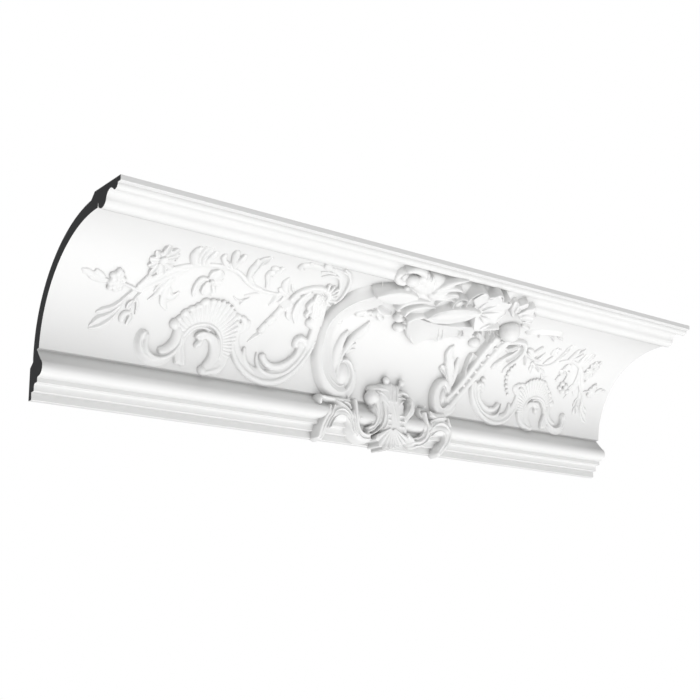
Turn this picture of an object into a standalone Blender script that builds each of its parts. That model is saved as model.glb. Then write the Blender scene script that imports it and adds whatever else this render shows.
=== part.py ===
# A section of decorated cove cornice, cast in one piece.
# Frame: X runs along the wall, Y goes into the wall, Z is up. The origin is the middle of the
# band at the back that is glued to the wall.
# Ornament is laid out in millimetres on the cove: u from the left end, v down the curve from its
# top edge, h off the surface. place_on_cove and place_on_crest turn that into metres.

import math

import bmesh
import bpy
from mathutils import Vector

for leftover in list(bpy.data.objects):
    bpy.data.objects.remove(leftover, do_unlink=True)

# Driving sizes of the section, metres
LENGTH = 0.950
PROJECTION = 0.205
DROP = 0.205
WALL_BAND_MIDDLE = 0.186      # from the ceiling line down to the middle of the wall band

# Sizes of the profile, millimetres out from the wall and down from the ceiling
MM = 0.001
COVE_CENTRE = 153.4           # centre of the cove arc, the same out and down
COVE_RADIUS = 132.1
BACK_RADIUS = 146.5           # the hidden back follows the cove at this radius
TOP_FILLET = 6.3              # height of the square edge under the ceiling
TOP_SET_BACK = 5.7
BEAD_CENTRE = (193.5, 7.2)
BEAD_RADIUS = 5.6
HOLLOW_CENTRE = (184.0, 18.0)
HOLLOW_RADIUS = 10.3
OVOLO_CENTRE = (164.5, 15.0)
OVOLO_RADIUS = 9.5
TORUS_CENTRE = (23.2, 170.3)
TORUS_RADIUS = 9.8
WALL_BAND_TOP = 167.0         # the wall band runs from here to the bottom edge
CEILING_BAND_IN = 146.0       # the ceiling band runs from here to the front edge

# How finely the ornament is cast
VOXEL = 2.0 * MM
RELIEF_TRIANGLES = 28000      # of the ornament before it is joined to the body
WHOLE_TRIANGLES = 9400        # of the finished section
COVE_STEPS = 26

# Crest over the middle: a flat layout tilted from the top bead back to the cove
CREST_TOP = (197.0, 10.0)
CREST_DOWN = (-0.8898, 0.4563)
CREST_OUT = (0.4563, 0.8898)


def arc(centre, radius, start, end, steps):
    """Points on an arc, angles in degrees, 0 outwards from the wall and 90 downwards."""
    points = []
    for k in range(steps + 1):
        a = math.radians(start + (end - start) * k / steps)
        points.append((centre[0] + radius * math.cos(a), centre[1] + radius * math.sin(a)))
    return points


def section_profile():
    """The end outline of the section as (out, down) in millimetres, front first."""
    front = PROJECTION / MM
    bottom = DROP / MM
    cove = (COVE_CENTRE, COVE_CENTRE)
    points = [(front, 0.0), (front, TOP_FILLET), (front - TOP_SET_BACK, TOP_FILLET)]
    points += arc(BEAD_CENTRE, BEAD_RADIUS, 5, 150, 6)
    points += arc(HOLLOW_CENTRE, HOLLOW_RADIUS, 270, 186, 4)
    points += arc(OVOLO_CENTRE, OVOLO_RADIUS, 14, 142, 6)
    points += [(154.8, 20.4)]
    points += arc(cove, COVE_RADIUS, 270.4, 182.8, COVE_STEPS)
    points += [(16.0, 148.0), (18.5, 150.5)]
    points += arc(TORUS_CENTRE, TORUS_RADIUS, -62, 90, 7)
    points += [(21.0, 181.0), (21.0, 186.5), (15.0, 187.0), (13.2, 190.0), (13.2, 195.6)]
    points += [(7.0, 195.8), (7.6, bottom), (0.0, bottom), (0.0, WALL_BAND_TOP)]
    points += arc(cove, BACK_RADIUS, 177.0, 264.0, 10)
    points += [(CEILING_BAND_IN, 0.0)]
    return points


def world(u, out, down):
    """A point of the section, millimetres from the left end, the wall and the ceiling."""
    return Vector((u * MM - LENGTH / 2, -out * MM, WALL_BAND_MIDDLE - down * MM))


def place_on_cove(u, v, h):
    quarter = COVE_RADIUS * math.pi / 2
    if v < 0:
        return world(u, COVE_CENTRE - v, COVE_CENTRE - COVE_RADIUS + h)
    if v > quarter:
        return world(u, COVE_CENTRE - COVE_RADIUS + h, COVE_CENTRE + v - quarter)
    a = v / COVE_RADIUS
    r = COVE_RADIUS - h
    return world(u, COVE_CENTRE - r * math.sin(a), COVE_CENTRE - r * math.cos(a))


def cove_root(v):
    """How far below the cove the ornament is rooted in the body."""
    if v < 185:
        return -4.0
    if v < 228:
        return -7.5
    return -7.5 - min(1.0, (v - 228) / 8) * 9.5


def place_on_crest(u, w, h):
    out = CREST_TOP[0] + CREST_DOWN[0] * w + CREST_OUT[0] * h
    down = CREST_TOP[1] + CREST_DOWN[1] * w + CREST_OUT[1] * h
    return world(u, out, down)


def crest_root(w):
    """The body lies further behind the crest towards its lower edge."""
    stops = [(-5, -5), (0, -5), (15, -12), (25, -10), (40, -9), (60, -18), (100, -27), (140, -29)]
    return blend(stops, w)


def blend(stops, x):
    if x <= stops[0][0]:
        return stops[0][1]
    for (x0, y0), (x1, y1) in zip(stops, stops[1:]):
        if x <= x1:
            return y0 + (y1 - y0) * (x - x0) / (x1 - x0)
    return stops[-1][1]


class Ground:
    """A layout that ornament is added to: where its points go and how deep they are rooted."""

    def __init__(self, mesh, place, root, shift=None, relief=1.0):
        self.mesh = mesh
        self.place = place
        self.root = root
        self.shift = shift or (lambda u, v: (u, v))
        self.relief = relief

    def set(self, vert, u, v, h):
        u, v = self.shift(u, v)
        vert.co = self.place(u, v, h * self.relief)

    def set_root(self, vert, u, v):
        u, v = self.shift(u, v)
        vert.co = self.place(u, v, self.root(v))


def spline(points, t):
    """A smooth path through the points, t from 0 to 1, with the direction there."""
    n = len(points) - 1
    k = min(int(t * n), n - 1)
    f = t * n - k
    p1, p2 = Vector(points[k]), Vector(points[k + 1])
    p0 = Vector(points[k - 1]) if k > 0 else p1 * 2 - p2
    p3 = Vector(points[k + 2]) if k < n - 1 else p2 * 2 - p1
    at = 0.5 * (2 * p1 + (p2 - p0) * f + (2 * p0 - 5 * p1 + 4 * p2 - p3) * f * f
                + (3 * p1 - p0 - 3 * p2 + p3) * f * f * f)
    along = 0.5 * ((p2 - p0) + 2 * (2 * p0 - 5 * p1 + 4 * p2 - p3) * f
                   + 3 * (3 * p1 - p0 - 3 * p2 + p3) * f * f)
    if along.length < 1e-6:
        along = p2 - p1
    return at, along.normalized()


def along_list(values, t):
    if not isinstance(values, (list, tuple)):
        return values
    n = len(values) - 1
    k = min(int(t * n), n - 1)
    return values[k] + (values[k + 1] - values[k]) * (t * n - k)


def section_height(kind, s):
    """Height across a stroke, s from -1 to 1, as a share of its full height."""
    a = abs(s)
    if kind == "round":
        return math.sqrt(max(0.0, 1 - 0.92 * s * s))
    if kind == "ridge":
        return 1 - 0.65 * a
    if kind == "flute":
        return 0.62 + 0.38 * math.exp(-((a - 0.8) / 0.2) ** 2)
    if kind == "dish":
        return 0.5 + 0.5 * a * a
    if kind == "vein":
        return (1 - 0.55 * s * s) - 0.3 * math.exp(-(s / 0.22) ** 2)
    return 1.0


def sheet(ground, columns, rows, shape):
    """A grid whose points are put at shape(t, s) = (u, v, h), closed down to its roots."""
    made = bmesh.ops.create_grid(ground.mesh, x_segments=columns, y_segments=rows, size=1.0)
    verts = made["verts"]
    faces = list({f for vert in verts for f in vert.link_faces})
    copy = bmesh.ops.extrude_face_region(ground.mesh, geom=faces)
    lower = [g for g in copy["geom"] if isinstance(g, bmesh.types.BMVert)]
    for vert in lower:
        u, v, h = shape((vert.co.x + 1) / 2, vert.co.y)
        ground.set_root(vert, u, v)
    for vert in verts:
        u, v, h = shape((vert.co.x + 1) / 2, vert.co.y)
        ground.set(vert, u, v, h)


def stroke(ground, path, width, height, kind="round", lobes=0, rows=6):
    """A band along a path; width and height are single sizes or lists along it."""
    length = sum((Vector(b) - Vector(a)).length for a, b in zip(path, path[1:]))
    columns = max(5, int(length / 4.0))
    if lobes:
        columns = max(columns, lobes * 5)

    def shape(t, s):
        at, along = spline(path, t)
        half = along_list(width, t) / 2
        if lobes:
            half *= 1 + 0.28 * math.cos(2 * math.pi * lobes * t + math.pi)
        across = Vector((-along.y, along.x))
        p = at + across * half * s
        return p.x, p.y, along_list(height, t) * section_height(kind, s)

    sheet(ground, columns, rows, shape)


def ball(ground, u, v, h, ru, rv=None, rh=None, turn=0.0):
    """A boss or berry, its middle at h."""
    rv = rv or ru
    rh = rh or ru
    made = bmesh.ops.create_uvsphere(ground.mesh, u_segments=12, v_segments=8, radius=1.0)
    c, s = math.cos(math.radians(turn)), math.sin(math.radians(turn))
    for vert in made["verts"]:
        x, y, z = vert.co.x * ru, vert.co.y * rv, vert.co.z * rh
        ground.set(vert, u + x * c - y * s, v + x * s + y * c, h + z)


def fan(ground, centre, inner, reach, start, end, ribs, heights, rib, scallop=0.06):
    """A ribbed shell; angles in degrees, 0 to the right and 90 up, reach along the sweep."""

    def shape(t, s):
        a = math.radians(start + (end - start) * t)
        wave = math.cos(2 * math.pi * ribs * t + math.pi)
        far = along_list(reach, t) * (1 + scallop * wave)
        share = (s + 1) / 2
        r = inner + (far - inner) * share
        h = along_list(heights, share) + rib * wave * min(1.0, 0.3 + share)
        return centre[0] + r * math.cos(a), centre[1] - r * math.sin(a), h

    sheet(ground, ribs * 5, 6, shape)


def flower(ground, u, v, ru, rv, petals, height, phase=0.0, heart=0.3):
    for k in range(petals):
        a = math.radians(phase + 360.0 * k / petals)
        c, s = math.cos(a), math.sin(a)
        mean = (ru + rv) / 2
        stroke(ground, [(u + 0.12 * ru * c, v + 0.12 * rv * s),
                        (u + 0.55 * ru * c, v + 0.55 * rv * s), (u + ru * c, v + rv * s)],
               [mean * 0.4, mean * 1.1, mean * 0.55],
               [height * 0.6, height * 0.85, height * 0.8], "dish")
    ball(ground, u, v, height * 0.55, mean * heart, mean * heart, height * 0.5)


def berries(ground, u, v, ru, rv, count, radius):
    for k in range(count):
        r = math.sqrt((k + 0.5) / count)
        a = k * math.pi * (3 - math.sqrt(5))
        ball(ground, u + ru * r * math.cos(a), v + rv * r * math.sin(a), 1.2, radius)


def flowering_branch(g):
    """The long branch with berries, flowers and leaves."""
    stroke(g, [(302, 75), (280, 80), (260, 81), (245, 78), (220, 62), (190, 55), (165, 58),
               (148, 66), (132, 79), (117, 96), (102, 112)], [4, 7, 8, 9, 9, 8], [3, 4, 5, 6, 6, 5])
    stroke(g, [(104, 112), (90, 111), (78, 107)], 5, 4)
    stroke(g, [(152, 67), (143, 79), (127, 95), (111, 110)], 6, 4)
    stroke(g, [(110, 86), (107, 98), (102, 111)], 4, 4)
    berries(g, 75, 106, 11, 15, 14, 4.6)
    stroke(g, [(64, 107), (45, 105), (26, 101)], [8, 15, 13, 2], 4.5, "vein", lobes=2)
    stroke(g, [(98, 114), (88, 130), (74, 147), (54, 169)], [6, 14, 24, 19, 3], 5, "vein", lobes=3)
    stroke(g, [(84, 136), (72, 140), (59, 150)], [6, 10, 3], 4, "vein")
    stroke(g, [(86, 138), (83, 152), (75, 167)], [6, 10, 3], 4, "vein")
    stroke(g, [(109, 112), (103, 128), (98, 142)], 4, 3)
    ball(g, 99, 133, 1.5, 4, 5, 3.5)
    ball(g, 96, 148, 1.5, 5, 8, 4)
    ball(g, 105, 151, 1.5, 4.5, 7, 4)
    stroke(g, [(108, 128), (112, 139), (113, 147)], [3, 5, 2], 3.5)
    flower(g, 114, 64, 17, 25, 6, 8, 20)
    stroke(g, [(150, 71), (138, 90), (130, 107), (121, 125)], [4, 10, 9, 3], 4.5, "vein")
    stroke(g, [(150, 74), (145, 95), (146, 115), (152, 134)], [5, 17, 18, 3], 5, "vein", lobes=2)
    stroke(g, [(170, 58), (161, 44), (152, 27)], [8, 30, 26, 12], [4, 6, 6, 5], "dish", lobes=2)
    stroke(g, [(201, 54), (196, 40), (187, 22)], [5, 11, 4], 6, "vein")
    stroke(g, [(203, 54), (205, 42), (203, 28)], [4, 9, 3], 5, "vein")
    stroke(g, [(192, 52), (187, 44), (180, 37)], [4, 8, 3], 5, "vein")
    flower(g, 184, 86, 20, 22, 5, 8.5, 90)
    stroke(g, [(246, 74), (236, 64), (226, 46), (224, 27)], [4, 10, 9, 2], 5, "ridge")
    stroke(g, [(262, 76), (246, 68), (238, 50), (238, 30), (234, 13)], [4, 7, 7, 6, 2], 5, "ridge")
    stroke(g, [(266, 74), (258, 60), (253, 48)], 4, 4)
    ball(g, 262, 38, 2.0, 10, 11, 5.0)
    stroke(g, [(280, 49), (288, 58), (292, 70)], [3, 8, 3], 4, "vein")
    stroke(g, [(276, 78), (288, 68), (299, 77)], [4, 7, 3], 4, "vein")
    stroke(g, [(296, 59), (302, 64), (308, 72)], [3, 7, 2], 4, "vein")
    stroke(g, [(278, 79), (283, 92), (292, 99)], [5, 9, 2], 4, "vein")
    stroke(g, [(252, 79), (244, 95), (232, 98)], [4, 7, 2], 4, "vein")


def scroll_group(g):
    """The ribbon, the husk, the large C and the shell with its scrolls."""
    stroke(g, [(283, 24), (291, 27), (300, 18), (318, 19), (338, 21), (356, 30), (368, 45),
               (373, 62), (371, 80)], [5, 9, 12, 15, 16, 15, 12, 6], 5.5, "flute")
    for du, dv in ((4, -20), (13, -17), (21, -9), (26, 2), (26, 14)):
        stroke(g, [(346, 66), (346 + du * 0.6, 66 + dv * 0.6), (346 + du, 66 + dv)], [4, 7, 4], 5)
    stroke(g, [(303, 92), (307, 76), (318, 62), (335, 54), (350, 57), (360, 69), (365, 88)],
           [6, 10, 11, 11, 11, 7], 6.5, "flute")
    stroke(g, [(335, 60), (324, 76), (323, 95), (332, 117)], [6, 12, 12, 3], 5, "vein", lobes=2)
    stroke(g, [(317, 70), (315, 92), (320, 114)], [5, 9, 3], 4.5, "vein")
    stroke(g, [(308, 97), (291, 124), (273, 153)], [5, 5.5, 4], 4)
    ball(g, 298, 118, 1.0, 4.5)
    ball(g, 284, 137, 1.0, 4.0)
    stroke(g, [(347, 66), (353, 84), (362, 106)], [14, 28, 24], [7, 10, 9], "vein", lobes=2)
    stroke(g, [(341, 66), (342, 84), (352, 100)], [5, 9, 5], 7, "ridge")
    ball(g, 361, 107, 4.0, 13, 13, 6.5)
    stroke(g, [(361, 114), (364, 124), (370, 134)], [20, 18, 15], [9, 10, 10])
    stroke(g, [(370, 128), (364, 152), (349, 179), (330, 194), (305, 199), (280, 194), (263, 180),
               (256, 163), (255, 146), (262, 131)], [14, 19, 20, 20, 17, 14, 12],
           [10, 10, 10, 9, 8, 8], "flute")
    ball(g, 262, 130, 3.0, 9, 8, 5.5)
    stroke(g, [(262, 124), (251, 118), (238, 120)], [4, 5, 4], 4)
    stroke(g, [(356, 140), (350, 160), (335, 174), (318, 180), (304, 174), (298, 160)],
           [6, 10, 9, 7, 5], 7.5, "round")
    stroke(g, [(302, 197), (285, 186), (272, 160)], [12, 10, 2], [8, 8, 5], "ridge")
    stroke(g, [(343, 150), (342, 138), (350, 131)], [6, 7, 5], 7)
    fan(g, (212, 165), 24, [46, 50, 55, 58, 54, 46, 41, 38, 38, 40], 143, -58, 22,
        [5, 7, 6], 0.9)
    stroke(g, [(170, 138), (181, 120), (195, 110), (210, 106)], [7, 9, 9, 4], 9)
    stroke(g, [(182, 166), (186, 151), (202, 143), (222, 146), (233, 159), (234, 175), (228, 190),
               (213, 200)], [6, 9, 9, 9, 4], 8.5, "flute")
    stroke(g, [(202, 163), (201, 153), (211, 149), (223, 156), (227, 169), (222, 181), (211, 191)],
           [7, 7, 7, 6], 9)
    ball(g, 203, 163, 4.0, 5.5)
    stroke(g, [(180, 149), (179, 170), (184, 193)], [8, 14, 16], 8.5, "vein")
    ball(g, 165, 145, 3.0, 6)
    stroke(g, [(169, 146), (171, 159), (167, 172), (157, 181), (146, 181)], [10, 11, 10, 9], 8.5)
    stroke(g, [(182, 163), (173, 182), (160, 194), (146, 198), (133, 193), (123, 182), (121, 169),
               (128, 160), (136, 166)], [12, 16, 17, 16, 13, 7], [9, 9, 9, 8, 8, 7], "flute")


def centre_scrolls(g):
    """The high C on the left of the middle, and the S that answers it on the right."""
    stroke(g, [(404, 0), (393, 42), (382, 76), (379, 105), (380, 131), (386, 155), (397, 178),
               (413, 192), (430, 192), (440, 178), (441, 163), (434, 151), (423, 150)],
           [13, 16, 17, 17, 18, 17, 14, 10], [24, 22, 20, 19, 19, 19, 18, 18], "flute", rows=8)
    ball(g, 420, 168, 9.0, 9, 18, 10)
    stroke(g, [(412, 176), (400, 148), (404, 126), (412, 108)], [5, 11, 11, 4], 12, "vein")
    stroke(g, [(416, 160), (418, 132), (426, 112), (442, 88)], [4, 8, 9, 3], 10, "vein")
    for u, v, r in ((407, 77, 7), (421, 74, 6), (431, 67, 7), (446, 72, 6), (395, 92, 5)):
        ball(g, u, v, 6.0, r)
    stroke(g, [(398, 60), (420, 60), (446, 62)], [10, 16, 14], 12)
    # the S: two fluted straps running down to the volute
    stroke(g, [(658, 55), (657, 75), (655, 97), (650, 122), (641, 146), (628, 168), (611, 189)],
           [11, 12, 13, 13, 12], [19, 19, 18, 18, 16], "flute")
    stroke(g, [(680, 62), (680, 84), (676, 107), (669, 130), (659, 153), (644, 176), (626, 193)],
           [11, 12, 12, 12, 11], [15, 15, 15, 15, 15], "flute")
    stroke(g, [(694, 92), (691, 114), (684, 137), (671, 161), (652, 184)], [6, 9, 9, 8], 10)
    stroke(g, [(634, 72), (638, 92), (636, 114), (629, 140), (617, 166)], [9, 13, 12, 8, 4], 15,
           "dish")
    stroke(g, [(688, 132), (690, 152), (688, 172)], [4, 7, 6], 8)
    stroke(g, [(628, 187), (612, 198), (594, 199), (579, 188), (575, 169), (581, 153), (593, 146),
               (604, 153)], [14, 17, 17, 16, 13, 7], [16, 17, 17, 17, 16, 15], "round", rows=8)
    ball(g, 599, 176, 9.0, 9, 15, 9)
    stroke(g, [(614, 172), (601, 142), (596, 118), (595, 93)], [12, 17, 12, 3], 13, "vein", lobes=2)
    stroke(g, [(604, 146), (594, 134), (585, 127)], [9, 10, 4], 11, "vein")
    stroke(g, [(607, 140), (603, 122), (601, 107)], [8, 8, 3], 12, "vein")
    stroke(g, [(612, 146), (614, 126), (614, 109)], [8, 8, 3], 12, "vein")
    # flowers hanging below the ball
    flower(g, 702, 92, 14, 15, 5, 11, 30)
    stroke(g, [(688, 74), (704, 69), (719, 78), (727, 95), (720, 118), (717, 132)],
           [8, 10, 9, 8, 4], [12, 12, 11, 9, 7], "flute")
    stroke(g, [(700, 98), (698, 108), (695, 120)], [6, 9, 3], 8, "vein")
    for k in range(6):
        ball(g, 719 + 1.8 * k, 116 + 8 * k, 1.5, 4.0 - 0.2 * k)


def centre_foot(g):
    """The shell with its swags and feet that hangs over the lower moulding."""
    stroke(g, [(388, 204), (411, 205), (436, 201)], [12, 16, 12], 19)
    stroke(g, [(416, 206), (404, 226), (392, 242), (386, 253)], [15, 11, 11, 13], [19, 20, 19, 14],
           "vein")
    stroke(g, [(398, 242), (409, 226), (425, 219), (435, 230), (447, 249), (470, 251)],
           [7, 9, 10, 9, 8], 19)
    stroke(g, [(437, 205), (440, 222), (448, 241), (468, 245), (484, 229)], [12, 13, 15, 16, 9],
           [19, 21, 22, 22, 22], "flute")
    stroke(g, [(450, 236), (448, 216), (444, 197)], [12, 9, 3], [21, 21, 14], "ridge")
    ball(g, 466, 197, 13.0, 10, 10, 11)
    stroke(g, [(469, 203), (479, 211), (483, 224), (478, 236), (468, 240), (463, 230)],
           [13, 12, 10, 8, 6], 23, "flute")
    stroke(g, [(506, 172), (507, 200), (508, 236)], [30, 56, 52], [17, 21, 21], rows=8)
    stroke(g, [(507, 184), (508, 206), (511, 233)], [5, 8, 3], [22, 26, 23], "ridge")
    for side in (-1, 1):
        stroke(g, [(507 + 7 * side, 176), (508 + 8 * side, 206)], [5, 4], [21, 23])
        stroke(g, [(507 + 18 * side, 190), (507 + 21 * side, 212), (507 + 14 * side, 234)],
               [6, 7, 4], 24)
        for v in (214, 222):
            stroke(g, [(508 + 8 * side, v), (508 + 15 * side, v)], 3.2, 23.5)
        ball(g, 506 + 15 * side, 167, 9.0, 5.5)
        stroke(g, [(506 + 15 * side, 168), (506 + 11 * side, 186)], [5, 8], 13)
    stroke(g, [(466, 187), (479, 178), (494, 179)], [6, 9, 7], 19)
    stroke(g, [(518, 181), (533, 184), (542, 196), (541, 210)], [8, 10, 10, 8], 20)
    fan(g, (508, 230), 6, [40, 34, 27, 26, 25, 26, 27, 34, 40], 200, 340, 9, [22, 22, 17], 1.4)
    stroke(g, [(526, 226), (541, 244), (557, 240), (567, 226), (570, 203)], [9, 15, 15, 12, 4],
           [22, 22, 21, 20, 14], "flute")
    stroke(g, [(572, 236), (582, 226), (594, 217), (606, 221), (608, 236), (599, 252)],
           [6, 9, 11, 11, 12], [19, 19, 19, 19, 15], "vein")
    stroke(g, [(614, 196), (622, 214), (624, 230), (611, 249)], [14, 12, 10, 7], [18, 18, 18, 15])
    stroke(g, [(592, 203), (612, 204), (630, 198)], [12, 15, 12], 18)


def crest(g):
    """The shells, leaves and flowers that lean out over the upper moulding."""
    ball(g, 426, 60, 0.0, 26, 17, 13, -25)
    flower(g, 433, 29, 23, 17, 5, 10, 200)
    stroke(g, [(463, 18), (473, 32), (473, 50)], [5, 9, 6], 12, "ridge")
    stroke(g, [(486, 52), (495, 38), (514, 24)], [10, 14, 3], 10, "vein")
    stroke(g, [(466, 52), (480, 40), (498, 26)], [8, 12, 3], 8, "vein")
    fan(g, (548, 46), 4, [40, 42, 46, 46, 42, 40], 160, 20, 4, [3, 4, 5], 0.5)
    fan(g, (573, 66), 5, [34, 50, 46, 48, 44, 48, 50, 45, 32], 156, -14, 6, [10, 13, 16], 1.6)
    fan(g, (530, 76), 8, [56, 60, 58, 44, 46, 60, 68], 190, 352, 7, [11, 9, 4], 0.8)
    stroke(g, [(496, 90), (514, 81), (533, 72), (552, 63), (570, 54)], [8, 28, 36, 28, 8],
           [10, 12, 12, 12, 10])
    stroke(g, [(502, 87), (517, 80), (533, 72), (549, 65), (564, 57)], [4, 20, 27, 20, 4],
           [12, 17, 19, 17, 12])
    stroke(g, [(508, 62), (508, 47), (520, 40)], [8, 12, 8], 11, "dish")
    stroke(g, [(468, 84), (480, 66), (506, 60)], [5, 12, 9], 11, "vein")
    stroke(g, [(458, 76), (474, 57), (500, 50)], [6, 11, 8], 9, "vein")
    for u, w, r in ((441, 80, 9), (452, 94, 9), (464, 108, 9), (456, 78, 8), (469, 96, 9)):
        ball(g, u, w, -3.0, r)
    ball(g, 590, 92, 1.0, 10)
    ball(g, 606, 107, -3.0, 9, 8, 8)
    stroke(g, [(574, 92), (592, 80), (614, 78)], [6, 8, 7], 10)
    stroke(g, [(604, 80), (616, 91), (628, 106)], [7, 9, 7], 9, "flute")
    ball(g, 637, 72, 1.0, 16, 16, 15)
    flower(g, 637, 33, 17, 14, 5, 9, 30)
    flower(g, 617, 31, 10, 9, 5, 7, 0)
    stroke(g, [(636, 50), (650, 46), (664, 38)], [8, 10, 3], 7, "vein")


def make_material(name, colour, roughness):
    material = bpy.data.materials.new(name)
    material.use_nodes = True
    shader = material.node_tree.nodes["Principled BSDF"]
    shader.inputs["Base Color"].default_value = colour
    shader.inputs["Roughness"].default_value = roughness
    shader.inputs["Metallic"].default_value = 0.0
    return material


def make_collection(name):
    collection = bpy.data.collections.new(name)
    bpy.context.scene.collection.children.link(collection)
    return collection


def make_body(collection):
    """The plain section: its end outline extruded along the wall."""
    profile = section_profile()
    bm = bmesh.new()
    ring = bmesh.ops.create_circle(bm, cap_ends=True, segments=len(profile), radius=1.0)["verts"]
    ring.sort(key=lambda vert: math.atan2(vert.co.y, vert.co.x) % (2 * math.pi))
    for vert, (out, down) in zip(ring, profile):
        vert.co = world(0.0, out, down)
    end = bmesh.ops.extrude_face_region(bm, geom=bm.faces[:])
    moved = [g for g in end["geom"] if isinstance(g, bmesh.types.BMVert)]
    bmesh.ops.translate(bm, vec=(LENGTH, 0, 0), verts=moved)
    bmesh.ops.recalc_face_normals(bm, faces=bm.faces[:])
    mesh = bpy.data.meshes.new("cornice")
    bm.to_mesh(mesh)
    bm.free()
    body = bpy.data.objects.new("cornice", mesh)
    collection.objects.link(body)
    return body


def settle(piece):
    """Replace a piece's mesh by what its modifiers make of it."""
    bpy.context.view_layer.update()
    evaluated = piece.evaluated_get(bpy.context.evaluated_depsgraph_get())
    mesh = bpy.data.meshes.new_from_object(evaluated)
    piece.modifiers.clear()
    piece.data = mesh


def thin(piece, triangles):
    """Collapse a mesh to about this many triangles, keeping the outline at both ends."""
    piece.data.calc_loop_triangles()
    share = triangles / len(piece.data.loop_triangles)
    group = piece.vertex_groups.new(name="between_the_ends")
    inside = [v.index for v in piece.data.vertices if abs(v.co.x) < LENGTH / 2 - 0.1 * MM]
    group.add(inside, 1.0, 'REPLACE')
    reduce = piece.modifiers.new("reduce", 'DECIMATE')
    reduce.decimate_type = 'COLLAPSE'
    reduce.ratio = min(1.0, share)
    reduce.vertex_group = group.name
    reduce.vertex_group_factor = 1000.0
    settle(piece)
    piece.vertex_groups.clear()


def keep_largest_body(piece):
    """Drop the loose slivers that a union can leave."""
    bm = bmesh.new()
    bm.from_mesh(piece.data)
    unseen = set(bm.verts)
    bodies = []
    while unseen:
        body = [unseen.pop()]
        for vert in body:
            for edge in vert.link_edges:
                other = edge.other_vert(vert)
                if other in unseen:
                    unseen.discard(other)
                    body.append(other)
        bodies.append(body)
    bodies.sort(key=len)
    loose = [vert for body in bodies[:-1] for vert in body]
    bmesh.ops.delete(bm, geom=loose, context='VERTS')
    bmesh.ops.triangulate(bm, faces=bm.faces[:])
    bm.to_mesh(piece.data)
    bm.free()


def make_relief(collection):
    """All the ornament as one closed mesh, rooted a few millimetres inside the body."""
    bm = bmesh.new()
    cove = Ground(bm, place_on_cove, cove_root)
    flowering_branch(cove)
    scroll_group(cove)
    centre_scrolls(cove)
    centre_foot(cove)
    crest(Ground(bm, place_on_crest, crest_root))
    # the right hand side repeats the left one mirrored and a little smaller
    flowering_branch(Ground(bm, place_on_cove, cove_root,
                            lambda u, v: (959 - 0.68 * u, 26 + 0.885 * v), 0.9))
    scroll_group(Ground(bm, place_on_cove, cove_root,
                        lambda u, v: (858 - 0.87 * (u - 130), 26 + 0.885 * v), 0.9))
    bmesh.ops.recalc_face_normals(bm, faces=bm.faces[:])
    mesh = bpy.data.meshes.new("ornament")
    bm.to_mesh(mesh)
    bm.free()
    relief = bpy.data.objects.new("ornament", mesh)
    collection.objects.link(relief)
    relief.hide_render = True
    relief.display_type = 'WIRE'
    cast = relief.modifiers.new("cast", 'REMESH')
    cast.mode = 'VOXEL'
    cast.voxel_size = VOXEL
    soften = relief.modifiers.new("soften", 'SMOOTH')
    soften.factor = 0.5
    soften.iterations = 1
    settle(relief)
    thin(relief, RELIEF_TRIANGLES)
    return relief


pieces = make_collection("decorated_cornice")
tools = make_collection("ornament_tools")
cornice = make_body(pieces)
ornament = make_relief(tools)
join = cornice.modifiers.new("ornament", 'BOOLEAN')
join.operation = 'UNION'
join.solver = 'EXACT'
join.object = ornament
settle(cornice)
keep_largest_body(cornice)
thin(cornice, WHOLE_TRIANGLES)
keep_largest_body(cornice)
cornice.data.materials.clear()
cornice.data.materials.append(make_material("primed_white", (0.86, 0.86, 0.85, 1.0), 0.55))
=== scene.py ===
import math

import bmesh
import bpy
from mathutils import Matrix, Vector


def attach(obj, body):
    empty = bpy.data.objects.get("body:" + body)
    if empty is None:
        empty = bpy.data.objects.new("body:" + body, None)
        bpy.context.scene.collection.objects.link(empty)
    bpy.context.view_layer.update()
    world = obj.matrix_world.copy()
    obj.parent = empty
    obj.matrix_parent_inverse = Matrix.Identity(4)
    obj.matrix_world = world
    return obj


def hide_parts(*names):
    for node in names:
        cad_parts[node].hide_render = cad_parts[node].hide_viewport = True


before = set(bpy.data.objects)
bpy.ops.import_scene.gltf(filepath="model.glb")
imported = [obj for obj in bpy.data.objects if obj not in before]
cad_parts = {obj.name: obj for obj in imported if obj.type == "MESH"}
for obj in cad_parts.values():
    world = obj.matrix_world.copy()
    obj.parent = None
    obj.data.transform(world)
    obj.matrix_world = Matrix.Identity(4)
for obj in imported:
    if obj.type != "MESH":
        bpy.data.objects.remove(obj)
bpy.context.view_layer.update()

mm = 0.001

# the plain section
section = {
    "length": 950.0, "front": 205.0, "drop": 205.0, "wallBandMiddle": 186.0,
    "coveCentre": 153.4, "coveRadius": 132.1, "backRadius": 146.5,
    "topEdge": 6.3, "topSetBack": 5.2, "topEase": 0.6,
    "bead": (193.5, 7.2, 5.6), "hollow": (184.0, 18.0, 10.3),
    "ovolo": (164.5, 15.0, 9.5), "torus": (23.2, 170.3, 9.8),
    "wallBandTop": 167.0, "ceilingBandIn": 146.0, "coveSteps": 120, "crease": 24.0,
}


def arc(centre, radius, start, end, steps):
    points = []
    for k in range(steps + 1):
        a = math.radians(start + (end - start) * k / steps)
        points.append((centre[0] + radius * math.cos(a), centre[1] + radius * math.sin(a)))
    return points


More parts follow.
